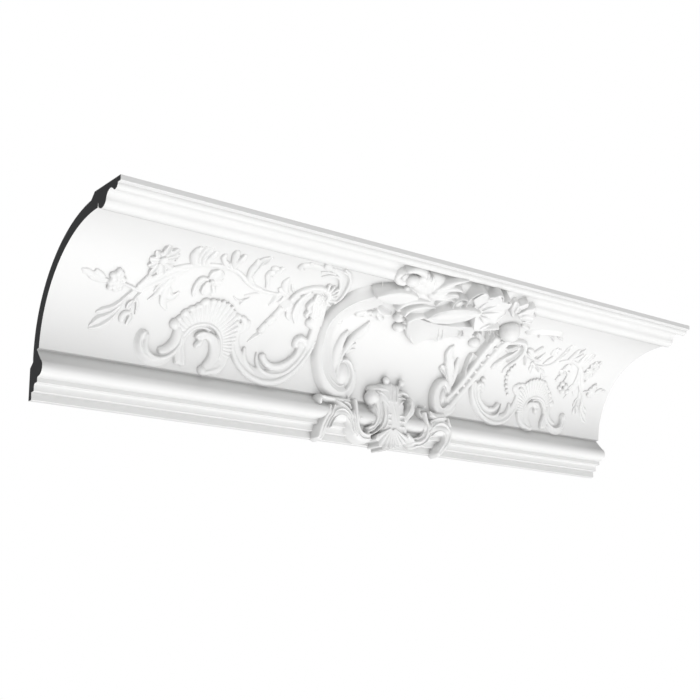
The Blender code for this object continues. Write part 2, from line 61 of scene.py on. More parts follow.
def sectionOutline():
    # (out from the wall, down from the ceiling) in millimetres, front first
    front, drop, c = section["front"], section["drop"], section["coveCentre"]
    edge, ease = section["topEdge"], section["topEase"]
    points = [(front, 0.0), (front, edge - ease), (front - ease, edge),
              (front - section["topSetBack"], edge)]
    points += arc(section["bead"][:2], section["bead"][2], -6, 150, 14)
    points += arc(section["hollow"][:2], section["hollow"][2], 270, 186, 12)
    points += arc(section["ovolo"][:2], section["ovolo"][2], 14, 150, 14)
    points += [(156.2, 16.4), (154.7, 16.4)]  # groove between ovolo and cove
    points += arc((c, c), section["coveRadius"], 270.4, 182.8, section["coveSteps"])
    points += [(16.0, 148.0), (18.5, 150.5)]
    points += arc(section["torus"][:2], section["torus"][2], -62, 90, 20)
    points += [(21.0, 181.0), (21.0, 186.1), (20.6, 186.5), (15.6, 186.8), (14.0, 188.0),
               (13.2, 190.0), (13.2, 195.0), (12.6, 195.6), (7.0, 195.8), (7.6, drop - 0.6),
               (7.0, drop), (0.0, drop), (0.0, section["wallBandTop"])]
    points += arc((c, c), section["backRadius"], 177.0, 264.0, 40)
    points += [(section["ceilingBandIn"], 0.0)]
    return points


def inSection(u, out, down):
    return Vector((u * mm - section["length"] * mm / 2, -out * mm,
                   (section["wallBandMiddle"] - down) * mm))


# laying ornament on the cove
# u runs from the left end, v down the curve, h off the surface, all in millimetres
def onCove(u, v, h):
    c, radius = section["coveCentre"], section["coveRadius"]
    quarter = radius * math.pi / 2
    if v < 0:
        return inSection(u, c - v, c - radius + h)
    if v > quarter:
        return inSection(u, c - radius + h, c + v - quarter)
    a = v / radius
    return inSection(u, c - (radius - h) * math.sin(a), c - (radius - h) * math.cos(a))


def coveRoot(v):
    # how deep the ornament is rooted in the body
    if v < 185:
        return -3.0
    if v < 228:
        return -7.5
    return -7.5 - min(1.0, (v - 228) / 8) * 9.5


# the crest is laid on a plane that leans from the top bead back to the cove
crestPlane = {"top": (197.0, 10.0), "down": (-0.8898, 0.4563), "out": (0.4563, 0.8898),
              "roots": [(-5, -5), (0, -5), (15, -12), (25, -10), (40, -9), (60, -18), (100, -26),
                        (140, -28)]}


def onCrest(u, w, h):
    top, down, out = crestPlane["top"], crestPlane["down"], crestPlane["out"]
    return inSection(u, top[0] + down[0] * w + out[0] * h, top[1] + down[1] * w + out[1] * h)


def crestRoot(w):
    return between(crestPlane["roots"], w)


def between(stops, x):
    if x <= stops[0][0]:
        return stops[0][1]
    for (x0, y0), (x1, y1) in zip(stops, stops[1:]):
        if x <= x1:
            return y0 + (y1 - y0) * (x - x0) / (x1 - x0)
    return stops[-1][1]


def startGround(place=onCove, root=coveRoot, shift=None, relief=1.0):
    return {"bm": bmesh.new(), "place": place, "root": root,
            "shift": shift or (lambda u, v: (u, v)), "relief": relief}


def setTop(ground, vert, u, v, h):
    u, v = ground["shift"](u, v)
    vert.co = ground["place"](u, v, h * ground["relief"])


def setRoot(ground, vert, u, v):
    u, v = ground["shift"](u, v)
    vert.co = ground["place"](u, v, ground["root"](v))


# modelling strokes
def spline(points, t):
    n = len(points) - 1
    k = min(int(t * n), n - 1)
    f = t * n - k
    p1, p2 = Vector(points[k]), Vector(points[k + 1])
    p0 = Vector(points[k - 1]) if k > 0 else p1 * 2 - p2
    p3 = Vector(points[k + 2]) if k < n - 1 else p2 * 2 - p1
    a, b, c = p2 - p0, 2 * p0 - 5 * p1 + 4 * p2 - p3, 3 * p1 - p0 - 3 * p2 + p3
    at = 0.5 * (2 * p1 + a * f + b * f * f + c * f * f * f)
    along = 0.5 * (a + 2 * b * f + 3 * c * f * f)
    if along.length < 1e-6:
        along = p2 - p1
    return at, along.normalized()


def alongList(values, t):
    if not isinstance(values, (list, tuple)):
        return values
    n = len(values) - 1
    k = min(int(t * n), n - 1)
    f = t * n - k
    f = f * f * (3 - 2 * f) * 0.5 + f * 0.5
    return values[k] + (values[k + 1] - values[k]) * f


across = {"dishRim": 0.78, "dishFloor": 0.3, "dishCurve": 2.4, "ridgeCurve": 0.9,
          "flatCurve": (4, 0.6), "veinDepth": 0.4, "veinWidth": 0.15}


def crossHeight(kind, s, lean):
    # height across a stroke, s from -1 to 1, as a share of its full height
    if kind == "dish":
        a, rim, floor = abs(s), across["dishRim"], across["dishFloor"]
        if a < rim:
            h = floor + (1 - floor) * (a / rim) ** across["dishCurve"]
        else:
            h = math.sqrt(max(0.0, 1 - ((a - rim) / (1 - rim)) ** 2))
        return h * (1 + lean * s)
    s = (s - lean) / (1 - lean) if s > lean else (s - lean) / (1 + lean)
    if kind == "ridge":
        return 1 - abs(s) ** across["ridgeCurve"]
    if kind == "soft":
        return 0.5 + 0.5 * math.cos(math.pi * s)
    if kind == "flat":
        return (1 - abs(s) ** across["flatCurve"][0]) ** across["flatCurve"][1]
    h = math.sqrt(max(0.0, 1 - s * s))
    if kind == "leaf":
        h *= 1 - across["veinDepth"] * math.exp(-(s / across["veinWidth"]) ** 2)
    return h


def addTo(ground, bm):
    loose = bpy.data.meshes.new("loose")
    bm.to_mesh(loose)
    bm.free()
    ground["bm"].from_mesh(loose)
    bpy.data.meshes.remove(loose)


def sheet(ground, columns, rows, shape):
    # a grid put at shape(t, s) = (u, v, h) and closed down to its roots
    bm = bmesh.new()
    verts = bmesh.ops.create_grid(bm, x_segments=columns, y_segments=rows, size=1.0)["verts"]
    copy = bmesh.ops.extrude_face_region(bm, geom=bm.faces[:])
    lower = [g for g in copy["geom"] if isinstance(g, bmesh.types.BMVert)]
    for vert in lower:
        u, v, h = shape((vert.co.x + 1) / 2, vert.co.y)
        setRoot(ground, vert, u, v)
    for vert in verts:
        u, v, h = shape((vert.co.x + 1) / 2, vert.co.y)
        setTop(ground, vert, u, v, h)
    bmesh.ops.recalc_face_normals(bm, faces=bm.faces[:])
    addTo(ground, bm)


brush = {"step": 1.3, "leastColumns": 10, "leastEnd": 0.8, "endWidth": 0.25, "endFall": 0.7}


def stroke(ground, path, width, height, lean=0.0, kind="round", ends=(1, 1), rows=12):
    # a band along a path; width and height are single sizes or lists along it
    length = sum((Vector(b) - Vector(a)).length for a, b in zip(path, path[1:]))
    columns = max(brush["leastColumns"], int(length / brush["step"]))
    samples = [spline(path, k / columns) for k in range(columns + 1)]
    closing = [max(brush["leastEnd"], alongList(width, t) / 2) for t in (0.0, 1.0)]
    narrow = brush["endWidth"]

    def shape(t, s):
        at, along = samples[round(t * columns)]
        side = Vector((-along.y, along.x))
        close = 1.0
        for rounded, reach, far in zip(ends, closing, (t, 1 - t)):
            if rounded:
                close *= math.sqrt(1 - (1 - min(1.0, far * length / reach)) ** 2)
        p = at + side * alongList(width, t) / 2 * s * (narrow + (1 - narrow) * close)
        high = alongList(height, t) * crossHeight(kind, s, lean)
        return p.x, p.y, high * close ** brush["endFall"]

    sheet(ground, columns, rows, shape)


def strokes(ground, base, table):
    # a row of the table holds path, width, height above the base, and stroke's other values
    for path, width, height, *rest in table:
        high = [base + h for h in height] if isinstance(height, list) else base + height
        stroke(ground, path, width, high, *rest)


def loft(ground, rails, columns=70, rows=30):
    # a skin over rails of (u, v, h) points, the rails given from one side to the other
    bands = [[spline(rail, k / columns)[0] for rail in rails] for k in range(columns + 1)]

    def shape(t, s):
        at = spline(bands[round(t * columns)], (s + 1) / 2)[0]
        return at.x, at.y, max(0.0, at.z)

    sheet(ground, columns, rows, shape)


def ball(ground, u, v, h, ru, rv=None, rh=None, turn=0.0):
    rv = rv or ru
    rh = rh or ru
    bm = bmesh.new()
    bmesh.ops.create_uvsphere(bm, u_segments=20, v_segments=12, radius=1.0)
    c, s = math.cos(math.radians(turn)), math.sin(math.radians(turn))
    for vert in bm.verts:
        x, y, z = vert.co.x * ru, vert.co.y * rv, vert.co.z * rh
        setTop(ground, vert, u + x * c - y * s, v + x * s + y * c, h + z)
    bmesh.ops.recalc_face_normals(bm, faces=bm.faces[:])
    addTo(ground, bm)


shellRibs = {"columns": 8, "wave": 2, "valley": 1.2, "atHeart": 0.25}


def fan(ground, centre, inner, reach, start, end, ribs, heights, rib, scallop=0.05, rows=12):
    # a ribbed shell; angles in degrees, 0 to the right and 90 up, reach along the sweep
    columns = ribs * shellRibs["columns"]

    def shape(t, s):
        a = math.radians(start + (end - start) * t)
        wave = abs(math.sin(math.pi * ribs * t)) * shellRibs["wave"] - shellRibs["valley"]
        share = (s + 1) / 2
        far = alongList(reach, t) * (1 + scallop * wave)
        r = inner + (far - inner) * share
        deep = alongList(rib, t) * wave * min(1.0, shellRibs["atHeart"] + share)
        return (centre[0] + r * math.cos(a), centre[1] - r * math.sin(a),
                alongList(heights, share) + deep)

    sheet(ground, columns, rows, shape)


bloom = {"petalWidths": (0.45, 0.9, 1, 0.62), "petalHeights": (0.5, 0.85, 1, 1),
         "petals": 5, "turned": 20, "rooted": 0.25, "fullness": 3.4, "crowding": 0.62,
         "overlap": 0.72, "heart": 0.3, "heartHigh": (0.5, 0.55)}


def toward(centre, tip, share):
    return tuple(a + (b - a) * share for a, b in zip(centre, tip))


def petal(ground, root, tip, width, height):
    # a petal from the flower's heart to its tip, blunt at the end
    (u0, v0), (u1, v1) = root, tip
    path = [(u0 + (u1 - u0) * k / 3, v0 + (v1 - v0) * k / 3) for k in range(4)]
    stroke(ground, path, [width * share for share in bloom["petalWidths"]],
           [height * share for share in bloom["petalHeights"]], 0, "dish", (0, 1))


def roundFlower(ground, u, v, ru, rv, height):
    count, size = bloom["petals"], (ru + rv) / 2
    width = size * bloom["fullness"] / count ** bloom["crowding"] * bloom["overlap"]
    for k in range(count):
        a = math.radians(bloom["turned"] + 360.0 * k / count)
        tip = (u + ru * math.cos(a), v + rv * math.sin(a))
        petal(ground, toward((u, v), tip, bloom["rooted"]), tip, width, height)
    heart, (low, high) = bloom["heart"] * size, bloom["heartHigh"]
    ball(ground, u, v, height * low, heart, heart, height * high)


def berries(ground, u, v, ru, rv, count, radius, height=1.5):
    for k in range(count):
        r = math.sqrt((k + 0.5) / count)
        a = k * math.pi * (3 - math.sqrt(5))
        ball(ground, u + ru * r * math.cos(a), v + rv * r * math.sin(a), height, radius)


# side ornament
branch = {"stem": 2.8, "petal": 4.2, "berries": 17, "berrySize": 3.9}


def addBranch(g):
    stem = branch["stem"]
    # the long stem, forking under the open flower
    strokes(g, 0, [
        ([(303, 76), (284, 78.5), (268, 79), (252, 77), (236, 70), (222, 61), (208, 56),
         (192, 54.5), (176, 57), (160, 62), (147, 68), (136, 76), (124, 87), (113, 99),
         (103, 111)], [4, 5, 6, 6.5, 7, 7, 7.5, 8, 9, 9, 8], [2, 2.4, stem]),
        ([(158, 66), (146, 75), (134, 87), (121, 100), (108, 112)], [3, 6, 7, 7, 5],
         [2, stem + 0.4, stem + 0.6, stem], -0.3)])
    strokes(g, stem, [
        ([(112, 89), (108, 98), (102, 110)], [6, 5.5, 5], 0.4),
        ([(113, 112), (103, 112.5), (95, 110.5), (84, 108)], [6, 5, 4.5, 4], 0)])
    # fruit
    ball(g, 74, 106, -1.5, 10.5, 14.5, 4)
    berries(g, 74, 106, 9.5, 13.5, branch["berries"], branch["berrySize"], 0.9)
    strokes(g, 0, [
        ([(66, 108.5), (55, 109), (45, 106.5), (36, 102.5), (28, 101)], [5, 9, 11, 8, 2],
         [2.4, 2.8, 2.8, 1.8, 1], 0.1, "leaf"),
        ([(60, 106), (52, 101.5), (44, 98)], [4, 6.5, 4], [2.2, 2.6, 2.2]),
        ([(40, 106), (33, 103.5), (29, 101)], [9, 6, 2], [2, 1.6, 1], 0, "ridge"),
        # long lobed leaf
        ([(101, 112), (95, 121), (88, 132), (80, 140), (70, 145), (61, 149.5)],
         [5, 5, 7, 8, 8.5, 3], [stem, 3.2, 3.4, 3.2, 3.0, 1.8], 0.25, "ridge"),
        ([(92, 132), (84, 143), (75, 151), (66, 157), (56, 167)], [4, 7, 9, 10, 3],
         [3, 3.6, 3.6, 3.2, 1.8], 0.2, "ridge"),
        ([(91, 137), (84, 150), (77, 158), (68, 165), (56, 169.5)], [4, 6, 8, 7, 3],
         [3, 3.2, 3.2, 2.6, 1.6], -0.1, "ridge"),
        # sprig of buds
        ([(112, 112), (106, 122), (104, 131), (104, 143), (102, 152)], [5, 4.5, 4, 3, 2],
         [2.8, 2.8, 2.6, 2.2], 0, "ridge"),
        ([(104, 127), (100, 132), (99, 139)], [4, 7, 5], [2.6, 3.2, 2.4], 0.2, "dish"),
        ([(104, 141), (98, 144), (95.5, 149), (96, 156)], [4, 8, 9, 6], [2.6, 3.4, 3.4, 2.6],
         -0.2),
        ([(105, 143), (106, 149), (103, 158)], [4, 7.5, 6], [2.6, 3.4, 2.6], 0.2, "dish"),
        ([(107, 124), (111, 133), (112, 144)], [3, 5, 3], [2.4, 2.8, 2], 0.2, "dish")])
    # open flower
    for tip, wide in (((112, 39.5), 10), ((125.5, 42), 10.5), ((132, 51), 8), ((133.5, 64), 9),
                      ((134, 75), 10), ((124, 88), 13), ((110, 90), 8.5), ((102.5, 79), 8),
                      ((99.5, 67), 10.5), ((102, 53), 8.5)):
        petal(g, toward((115.5, 66), tip, 0.28), tip, wide, branch["petal"])
    ball(g, 117, 66.5, 0.5, 5.0, 6.0, 3.2)
    # leaves hanging from the fork
    strokes(g, 0, [
        ([(134, 92), (128, 101), (125, 112)], [3, 5, 2], [2.2, 2.4, 1.6], 0, "ridge"),
        ([(139, 88), (133, 102), (130, 113), (121, 123)], [4, 7, 7, 2], [2.4, 2.8, 2.6, 1.4],
         -0.2),
        ([(153, 70), (144, 83), (140, 97), (139, 110), (142, 122), (151, 131.5)],
         [4, 6, 7, 10, 10, 2], [2.6, 2.8, 2.8, 2.8, 2.4, 1.2], 0.35),
        ([(142, 100), (147, 113), (153, 112), (158, 103.5)], [4, 13, 9, 3], [2, 2.2, 2.2, 1.8], 0,
         "dish"),
        # cupped bud on the stem
        ([(148, 27.5), (146.5, 36), (148, 47), (155, 58), (166, 62)], [4, 8.5, 10, 9, 6],
         [2.6, 4.2, 4.4, 3.6, 3], -0.45),
        ([(154, 26), (153.5, 38), (156, 50), (163, 60)], [5, 9, 9, 6], [2.4, 3.6, 4, 3.4], 0,
         "ridge"),
        ([(162, 25), (160.5, 38), (162, 50), (168, 60)], [8, 12, 10, 6], [1.6, 3.2, 3.6, 3.2], 0,
         "soft"),
        ([(171, 30), (170.5, 40), (169.5, 50), (171, 59)], [7, 9, 9, 6], [1.4, 3, 3.4, 3], 0.4),
        # three narrow buds
        ([(198, 52), (190, 46), (184, 38), (183, 31)], [5, 7, 8, 5], [3, 3.2, 3.2, 2], -0.2),
        ([(205, 52), (199, 40), (194.5, 28), (191, 18)], [4, 7.5, 10, 6], [3, 4.2, 4.6, 2.8],
         0.35),
        ([(205, 53), (198, 49), (191, 43)], [4, 4.5, 3], [3, 3.4, 2.8]),
        ([(208, 54), (206, 43), (206, 32), (205, 22)], [4, 7, 9.5, 5], [3, 4, 4.4, 2.4], -0.45)])
    # pansy
    petal(g, (190, 79), (194, 61), 22, 4.0)
    petal(g, (193, 80), (206, 79), 13, 3.0)
    stroke(g, [(186, 79), (177, 80), (174, 90), (175, 100), (178, 107)], [5, 8, 7, 6, 3],
           [3, 3.6, 3.6, 3, 2], 0.3)
    petal(g, (189, 82), (193, 102), 20, 4.2)
    stroke(g, [(193, 84), (199, 92), (200, 101)], [4, 7, 5], [3.4, 4, 3.2], 0.3)
    ball(g, 191, 80, 1.5, 3.0, 3.0, 3.0)
    # curling blades
    strokes(g, 0, [
        ([(243, 73), (234, 62), (230, 48), (229, 36), (225, 26)], [3, 6, 9, 8, 3],
         [2.4, 3.4, 3.8, 3.4, 1.6], 0.45),
        ([(262, 76), (250, 73.5), (241, 66), (237, 54), (237, 40), (239, 28), (238, 15)],
         [4, 5, 5.5, 5, 5.5, 6, 5], [2.4, 3, 3.2, 3.2, 3.2, 3, 2.4], 0, "ridge"),
        ([(236, 45), (232, 33), (232, 24), (237, 14)], [3, 7, 9, 5], [2.6, 3.4, 3, 2], 0.2,
         "dish"),
        # small bud
        ([(267, 74), (262, 63), (256, 53), (254, 46)], [4, 5.5, 7, 6], [2.6, 2.8, 3, 2.6], 0.2)])
    ball(g, 256, 36.5, 0.0, 5.0, 5.0, 3.4)
    ball(g, 257, 45.5, 0.0, 5.4, 5.0, 3.4)
    strokes(g, 0, [
        ([(260, 51), (264, 42), (265, 30)], [6, 9, 6], [2.6, 3.4, 2.4], -0.3),
        ([(262, 53), (269, 44), (270, 34)], [4, 6, 3], [2.2, 2.4, 1.8], 0, "soft"),
        # leaflets towards the husk
        ([(301, 75), (291, 67), (286, 58), (285, 47)], [3, 9, 10, 3], [2.4, 3.2, 3.4, 1.6], 0.35),
        ([(303, 77), (290, 74), (282, 68)], [4, 5.5, 4], [2.4, 2.6, 2.2]),
        ([(308, 71), (301, 65), (295, 57)], [3, 5, 2], [2.2, 2.6, 1.4], 0, "ridge"),
        ([(287, 78), (287, 88), (283, 98)], [10, 10, 4], [2.6, 2.8, 1.6], 0, "soft"),
        ([(298, 79), (296, 86), (293, 91)], [5, 4, 2], [2.4, 2.2, 1.4]),
        ([(264, 82), (252, 87), (243, 91)], [3, 4.5, 2], [2, 1.8, 1.2], 0, "ridge"),
        ([(229, 94), (237, 99), (248, 97), (253, 91)], [2, 4, 5, 3], [1.2, 1.6, 2, 1.6], 0,
         "ridge"),
        ([(250, 94), (246, 99), (244, 105)], [3, 6, 4], [2, 2.8, 2], 0.3)])


scrollWork = {"ribs": 25, "ribDepth": [0.5, 0.6, 0.7, 0.8, 1.1, 1.3, 1.1], "shellRise": 4.6,
              "scrollRise": 6.0, "rimRise": 6.6, "huskRise": 6.0}


def addRibbonAndHusk(g):
    husk = scrollWork["huskRise"]
    # ribbon along the top, turned over at its left end and running down behind the fan
    strokes(g, 0, [
        ([(312, 11), (324, 8), (336, 10), (349, 18), (360, 31), (368, 46), (371, 60), (368, 74)],
         [7, 10, 13, 15, 15, 13, 10, 6], [2.4, 2.8, 3.4, 4, 4.4, 4.6, 4.4], -0.2, "dish"),
        ([(336, -1), (350, 9), (363, 25), (371, 43), (374, 60), (371, 74)], [3, 4.5, 5.5, 6, 5, 4],
         [2.4, 3.8, 5, 5.2, 5, 4], 0.2),
        ([(323, 32), (331, 24), (343, 24), (354, 33), (362, 46), (366, 58)], [3, 4, 4.5, 5, 5, 4],
         [2, 2.6, 3, 3.6, 4, 4]),
        ([(315, 22), (325, 18), (337, 18)], [3, 4.5, 3], [2, 2.4, 2.4]),
        ([(294, 28), (285, 23), (285, 14), (296, 11), (309, 12), (320, 12)], [3, 7, 11, 12, 10, 7],
         [2.2, 3.4, 3.6, 3.2, 2.6, 2.2], 0.25),
        ([(288, 4), (292, 10), (299, 15)], [5, 8, 4], [2, 2.8, 2], 0.3),
        ([(306, -5), (313, 4), (323, 13)], [8, 11, 7], [2.6, 3.4, 2.6], 0.4)])
    # fan of leaflets behind the husk
    for tip in ((344, 41), (353, 42), (361, 46), (367.5, 53), (370.5, 61), (371, 69.5),
                (369, 78), (364, 87)):
        stroke(g, [toward((347, 66), tip, share) for share in (0.25, 0.65, 1)],
               [2.5, 5.6, 5], [husk, husk, husk - 2], -0.2)
    # arched leaf that springs from the cane and bends over into the husk
    strokes(g, 0, [
        ([(308, 84), (313, 70), (323, 59), (337, 53.5), (349, 56), (356, 64), (358, 74)],
         [8, 10, 11, 11, 10, 8, 5], [4.2, 4.4, 4.6, 5.2, 6, 6.2, 6], -0.3),
        ([(330, 62), (340, 61), (348, 66), (351, 76)], [4, 6, 6, 4], [3.6, 4.6, 5.4, 5.4], 0,
         "dish"),
        ([(317, 72), (311, 82), (307, 91), (304, 98.5)], [7, 11, 15, 16], [4.2, 4.6, 5, 5.2],
         -0.35, "ridge", (1, 0)),
        ([(313, 86), (314, 97), (317, 105), (324, 112)], [6, 8.5, 8, 3], [3.6, 3.6, 3, 1.4], 0.5),
        ([(328, 62), (324, 74), (324, 88), (326, 101), (333, 115)], [5, 10, 12, 11, 3],
         [4, 4, 3.4, 2.8, 1.4], 0.55),
        # cane with its rings
        ([(304, 96), (299, 109), (292, 122), (284.5, 136)], [12, 11, 10.5, 10],
         [3.8, 3.8, 3.6, 3.4], 0.1, "round", (0, 1)),
        ([(288, 136), (281, 141.5), (272, 151.5)], [7, 7, 2], [3.2, 2.8, 1.4], 0, "ridge")])
    for u, v, r in ((298, 112, 5.8), (292, 123, 5.4), (285.5, 134.5, 5.2)):
        stroke(g, [(u - r * 0.86, v - r * 0.5), (u, v), (u + r * 0.86, v + r * 0.5)], 2.6, 4.2)
    # husk: a ribbed calyx with a cup below it
    for k in range(6):
        t = k / 5
        stroke(g, [(339 + 20 * t, 62 + 5 * t * t), (341 + 20 * t, 76 + 4 * t), (347 + 18 * t, 92),
                   (352 + 15 * t, 103)], [4, 5.6, 5.6, 4],
               [husk - 2.4, husk - 0.4, husk + 0.4, husk - 0.2], 0.2)
    strokes(g, husk, [
        ([(343, 82), (347, 92), (349, 100)], [7, 8, 6], [-2, -1, -0.4], 0.3),
        ([(358, 94), (361, 102), (362, 110), (364, 116)], [15, 26, 27, 18], [0, 0.4, 1, 0.8])])
    ball(g, 354, 108, 0.0, 8, 8, husk + 0.2)
    strokes(g, husk, [
        ([(365, 112), (366, 124), (366, 138), (362, 152)], [17, 17, 18, 13],
         [-0.4, -0.6, -0.8, -1.6], 0, "flat", (0, 1)),
        ([(347, 69), (340, 76), (338, 85), (343, 92)], [5, 8, 8, 5], [-1, -0.4, -0.4, -1], 0.2),
        ([(345, 89), (341, 96), (345, 103)], [4, 7, 5], -0.6)])


def addShellAndScrolls(g):
    rise, rim, shell = scrollWork["scrollRise"], scrollWork["rimRise"], scrollWork["shellRise"]
    # large C: the broad body, its raised outer rim and the two bands nested inside it
    strokes(g, rise, [
        ([(367, 130), (361, 150), (350, 168), (334, 182), (315, 190), (296, 191), (277, 184),
          (263, 171), (255, 156), (253, 141), (257, 128)],
         [14, 19, 23, 23, 21, 20, 18, 16, 14, 12, 9],
         [-1, -1.6, -1.8, -1.9, -2, -2, -2.2, -2.4, -2.6, -2.8, -3], 0, "flat", (0, 1))])
    strokes(g, rim, [
        ([(370, 132), (366, 150), (356, 168), (341, 184), (322, 195), (301, 197.5), (280, 192),
          (263, 179), (252, 162), (248, 146), (250, 132)],
         [8, 9, 9.5, 9.5, 9.5, 9.5, 9, 8.5, 7.5, 6, 4],
         [-0.4, 0, 0, -0.4, -0.6, -0.8, -1.2, -1.6, -2, -2.6, -3.2], 0.2, "round", (0, 1))])
    strokes(g, rise, [
        ([(361, 138), (358, 152), (348, 169), (333, 182), (314, 187), (299, 183), (291, 173),
         (289, 161)], [5, 7, 7.5, 7.5, 7, 6, 5, 2], [-0.6, 0, 0, -0.4, -0.6, -1, -2, -3], 0.2),
        ([(351, 140), (349, 154), (338, 167), (322, 175), (308, 174), (299.5, 167), (297, 161)],
         [9, 9, 9.5, 10, 10.5, 10.5, 10], [-0.2, -0.4, -0.6, -0.8, -0.8, -0.8, -1.2], 0.2),
        ([(344, 147), (342, 138), (347, 132), (355, 134), (359, 142)], [7, 8, 9, 9, 6],
         [-1, -0.4, -0.2, -0.2, -0.6])])
    ball(g, 351, 141, 0.0, 8.0, 8.0, rise - 0.6)
    # spur on the C
    strokes(g, rise, [
        ([(270, 157), (271, 167), (277, 178), (289, 188)], [5, 7.5, 7, 4],
         [-2.6, -1.4, -1.2, -1.4], 0.35)])
    # lobed top of the C beside the shell
    strokes(g, 0, [
        ([(237, 120), (246, 120.5), (253, 121)], [6, 8, 7], [2.4, 3.2, 3]),
        ([(252, 120), (259, 124), (262, 133), (256, 140)], [6, 10, 9, 6], [3, 3.8, 3.6, 2.6],
         -0.2)])
    ball(g, 265, 129, -0.4, 5.0, 7.5, 3.6)
    stroke(g, [(242, 122), (249, 130), (249, 142)], [8, 10, 6], [2.4, 2.8, 2.2], 0, "flat")
    # shell: ribbed fan, lumpy edge and the bands inside it
    fan(g, (211, 163), 24, [46, 47, 48, 51, 57, 60, 59, 54, 49, 43, 40, 39, 38], 160, -28,
        scrollWork["ribs"], [shell - 0.4, shell, shell + 0.2, shell - 0.2, shell - 1.2],
        scrollWork["ribDepth"], 0.03)
    for u, v, ru, rv, turn in ((169, 137, 4.6, 3.4, -50), (174.5, 129, 6, 4.2, -50),
                               (182, 122, 5.4, 3.8, -30), (189, 116.5, 4.6, 3.6, -30),
                               (196, 110, 6.4, 4.8, -38), (206, 107, 4.4, 4, 0),
                               (214, 108, 4, 3.4, 20)):
        ball(g, u, v, 0.4, ru, rv, 4.0, turn)
    strokes(g, shell, [
        ([(178, 168), (179, 158), (184, 148), (192, 141), (203, 137.5), (214, 138), (225, 144),
         (232, 154), (235, 168), (234, 180)], [5, 6, 6, 6, 6, 6, 6, 6, 6, 6],
         [0.8, 1.4, 1.4, 1.4, 1.2]),
        ([(182, 166), (183, 158), (188, 150), (196, 144), (206, 142.5), (216, 144.5)],
         [4, 5, 5, 5, 5, 4], 0.9)])
    stroke(g, [(236, 150), (241, 162), (240, 176), (233, 189), (221, 196)], [14, 17, 18, 18, 12],
           [3.6, 4.4, 5, 5.2, 4.6], 0, "flat")
    # inner C of the shell, hollow along its face, with a curled end
    strokes(g, rise, [
        ([(203, 160), (205, 154), (213, 151.5), (222, 156), (227, 166), (226.5, 178), (221, 188),
         (213, 197)], [11, 11, 11, 14, 16, 16, 15, 12],
         [-1, -0.6, -0.6, -0.8, -0.8, -0.8, -0.8, -1.4], -0.1, "flat"),
        ([(197, 158), (199, 152), (206, 148.5), (214, 148.5)], [3, 4, 4, 2], [-1, 0, 0, -1]),
        ([(206, 158), (203, 163), (198, 169)], [7, 9, 6], [-0.4, 0, -1.6])])
    ball(g, 213, 196, 0.4, 6.5, 6.0, rise - 0.4, 30)
    strokes(g, rise, [
        ([(240, 182), (232, 192), (220, 197), (212, 199)], [9, 9, 9, 8], [-1, 0, 0, -0.6]),
        # tongue below the shell
        ([(176, 150), (177, 162), (178, 174), (180, 184), (181, 194)], [12, 12, 11, 15, 15],
         [-0.6, -1, -1.4, -1.4, -2], 0, "flat"),
        ([(179, 158), (180.5, 172), (183, 184), (184, 195)], [5, 7, 10, 9], [0.4, 0, -0.2, -1],
         -0.3),
        ([(174, 172), (173.5, 182), (176, 194)], [3, 5, 5], [-1.2, -0.6, -1.4])])
    # knob and the two J scrolls on the left
    ball(g, 165, 145, 0.8, 6.8, 6.8, 5.4)
    strokes(g, rise, [
        ([(170, 146), (171.5, 158), (168, 169), (159, 178), (149, 181.5)], [10, 13, 13, 11.5, 10],
         [-0.6, 0, 0, -0.4, -0.8], -0.3),
        ([(177, 155), (175.5, 168), (168, 181), (156, 190), (142, 192.5), (130, 187), (124, 177),
         (124.5, 166), (129, 160)], [6, 9, 13, 16, 17, 17, 15, 13, 11],
         [0, 0, 0, -0.2, -0.4, -0.4, -0.4, -0.4, -0.6], 0, "soft")])
    stroke(g, [(177, 156), (176, 170), (167, 183.5), (152, 191), (139, 188.5), (131.5, 180),
           (130.5, 169), (130.5, 162)], [4, 6, 7, 8, 8, 8, 8.5, 9],
           [rim, rim, rim, rim, rim - 0.2, rim - 0.2, rim - 0.4, rim - 0.8], 0.3)
    ball(g, 128.5, 166, 0.2, 7.5, 7.5, rise - 1)


def addRightSprays(g):
    # what fills the right side between the ball and the mirrored branch
    strokes(g, 0, [
        ([(699, 47), (715, 39), (735, 34), (756, 31), (766, 37)], [3, 9, 10, 9, 3], 6, 0.5,
         "ridge"),
        ([(740, 40), (751, 43), (764, 52)], [4, 6, 2], 4, 0, "ridge"),
        ([(756, 37), (766, 41), (777, 46)], [4, 7, 3], 4, 0, "ridge"),
        ([(722, 42), (727, 46), (733, 52)], [3, 5, 2], 4, 0, "ridge"),
        ([(731, 77), (741, 80), (750, 88)], [4, 10, 8], 4.5, 0, "leaf"),
        ([(750, 90), (754, 80), (757, 67)], [6, 12, 6], 4.5, 0, "leaf")])
    for u, v, r in ((729, 109, 2.4), (726, 115, 3.0), (724, 122, 3.3), (724, 129, 3.4),
                    (726, 136, 3.3), (729, 143, 3.2), (733, 149, 2.8), (737, 155, 2.3),
                    (840, 122, 4.5), (849, 126, 5), (856, 133, 4.5), (846, 134, 5), (838, 130, 4)):
        ball(g, u, v, 0.6, r)
    strokes(g, 0, [
        ([(726, 82), (738, 92), (748, 106)], [4, 6, 3], 5, 0, "ridge"),
        ([(722, 78), (735, 86), (752, 91), (772, 93)], [4, 5, 5, 4], 4.5)])
    ball(g, 680, 140, 1.5, 4.0)
    stroke(g, [(757, 96), (770, 103), (782, 112)], [3, 6, 2], 4, 0, "ridge")


# middle ornament
middle = {"cRise": 12.0, "ballRise": 12.4, "leafRise": 8.0, "strapRise": 11.5,
          "voluteRise": 11.0, "footRise": 16.0, "beads": 8, "beadFrom": 0.05, "beadStep": 0.122}


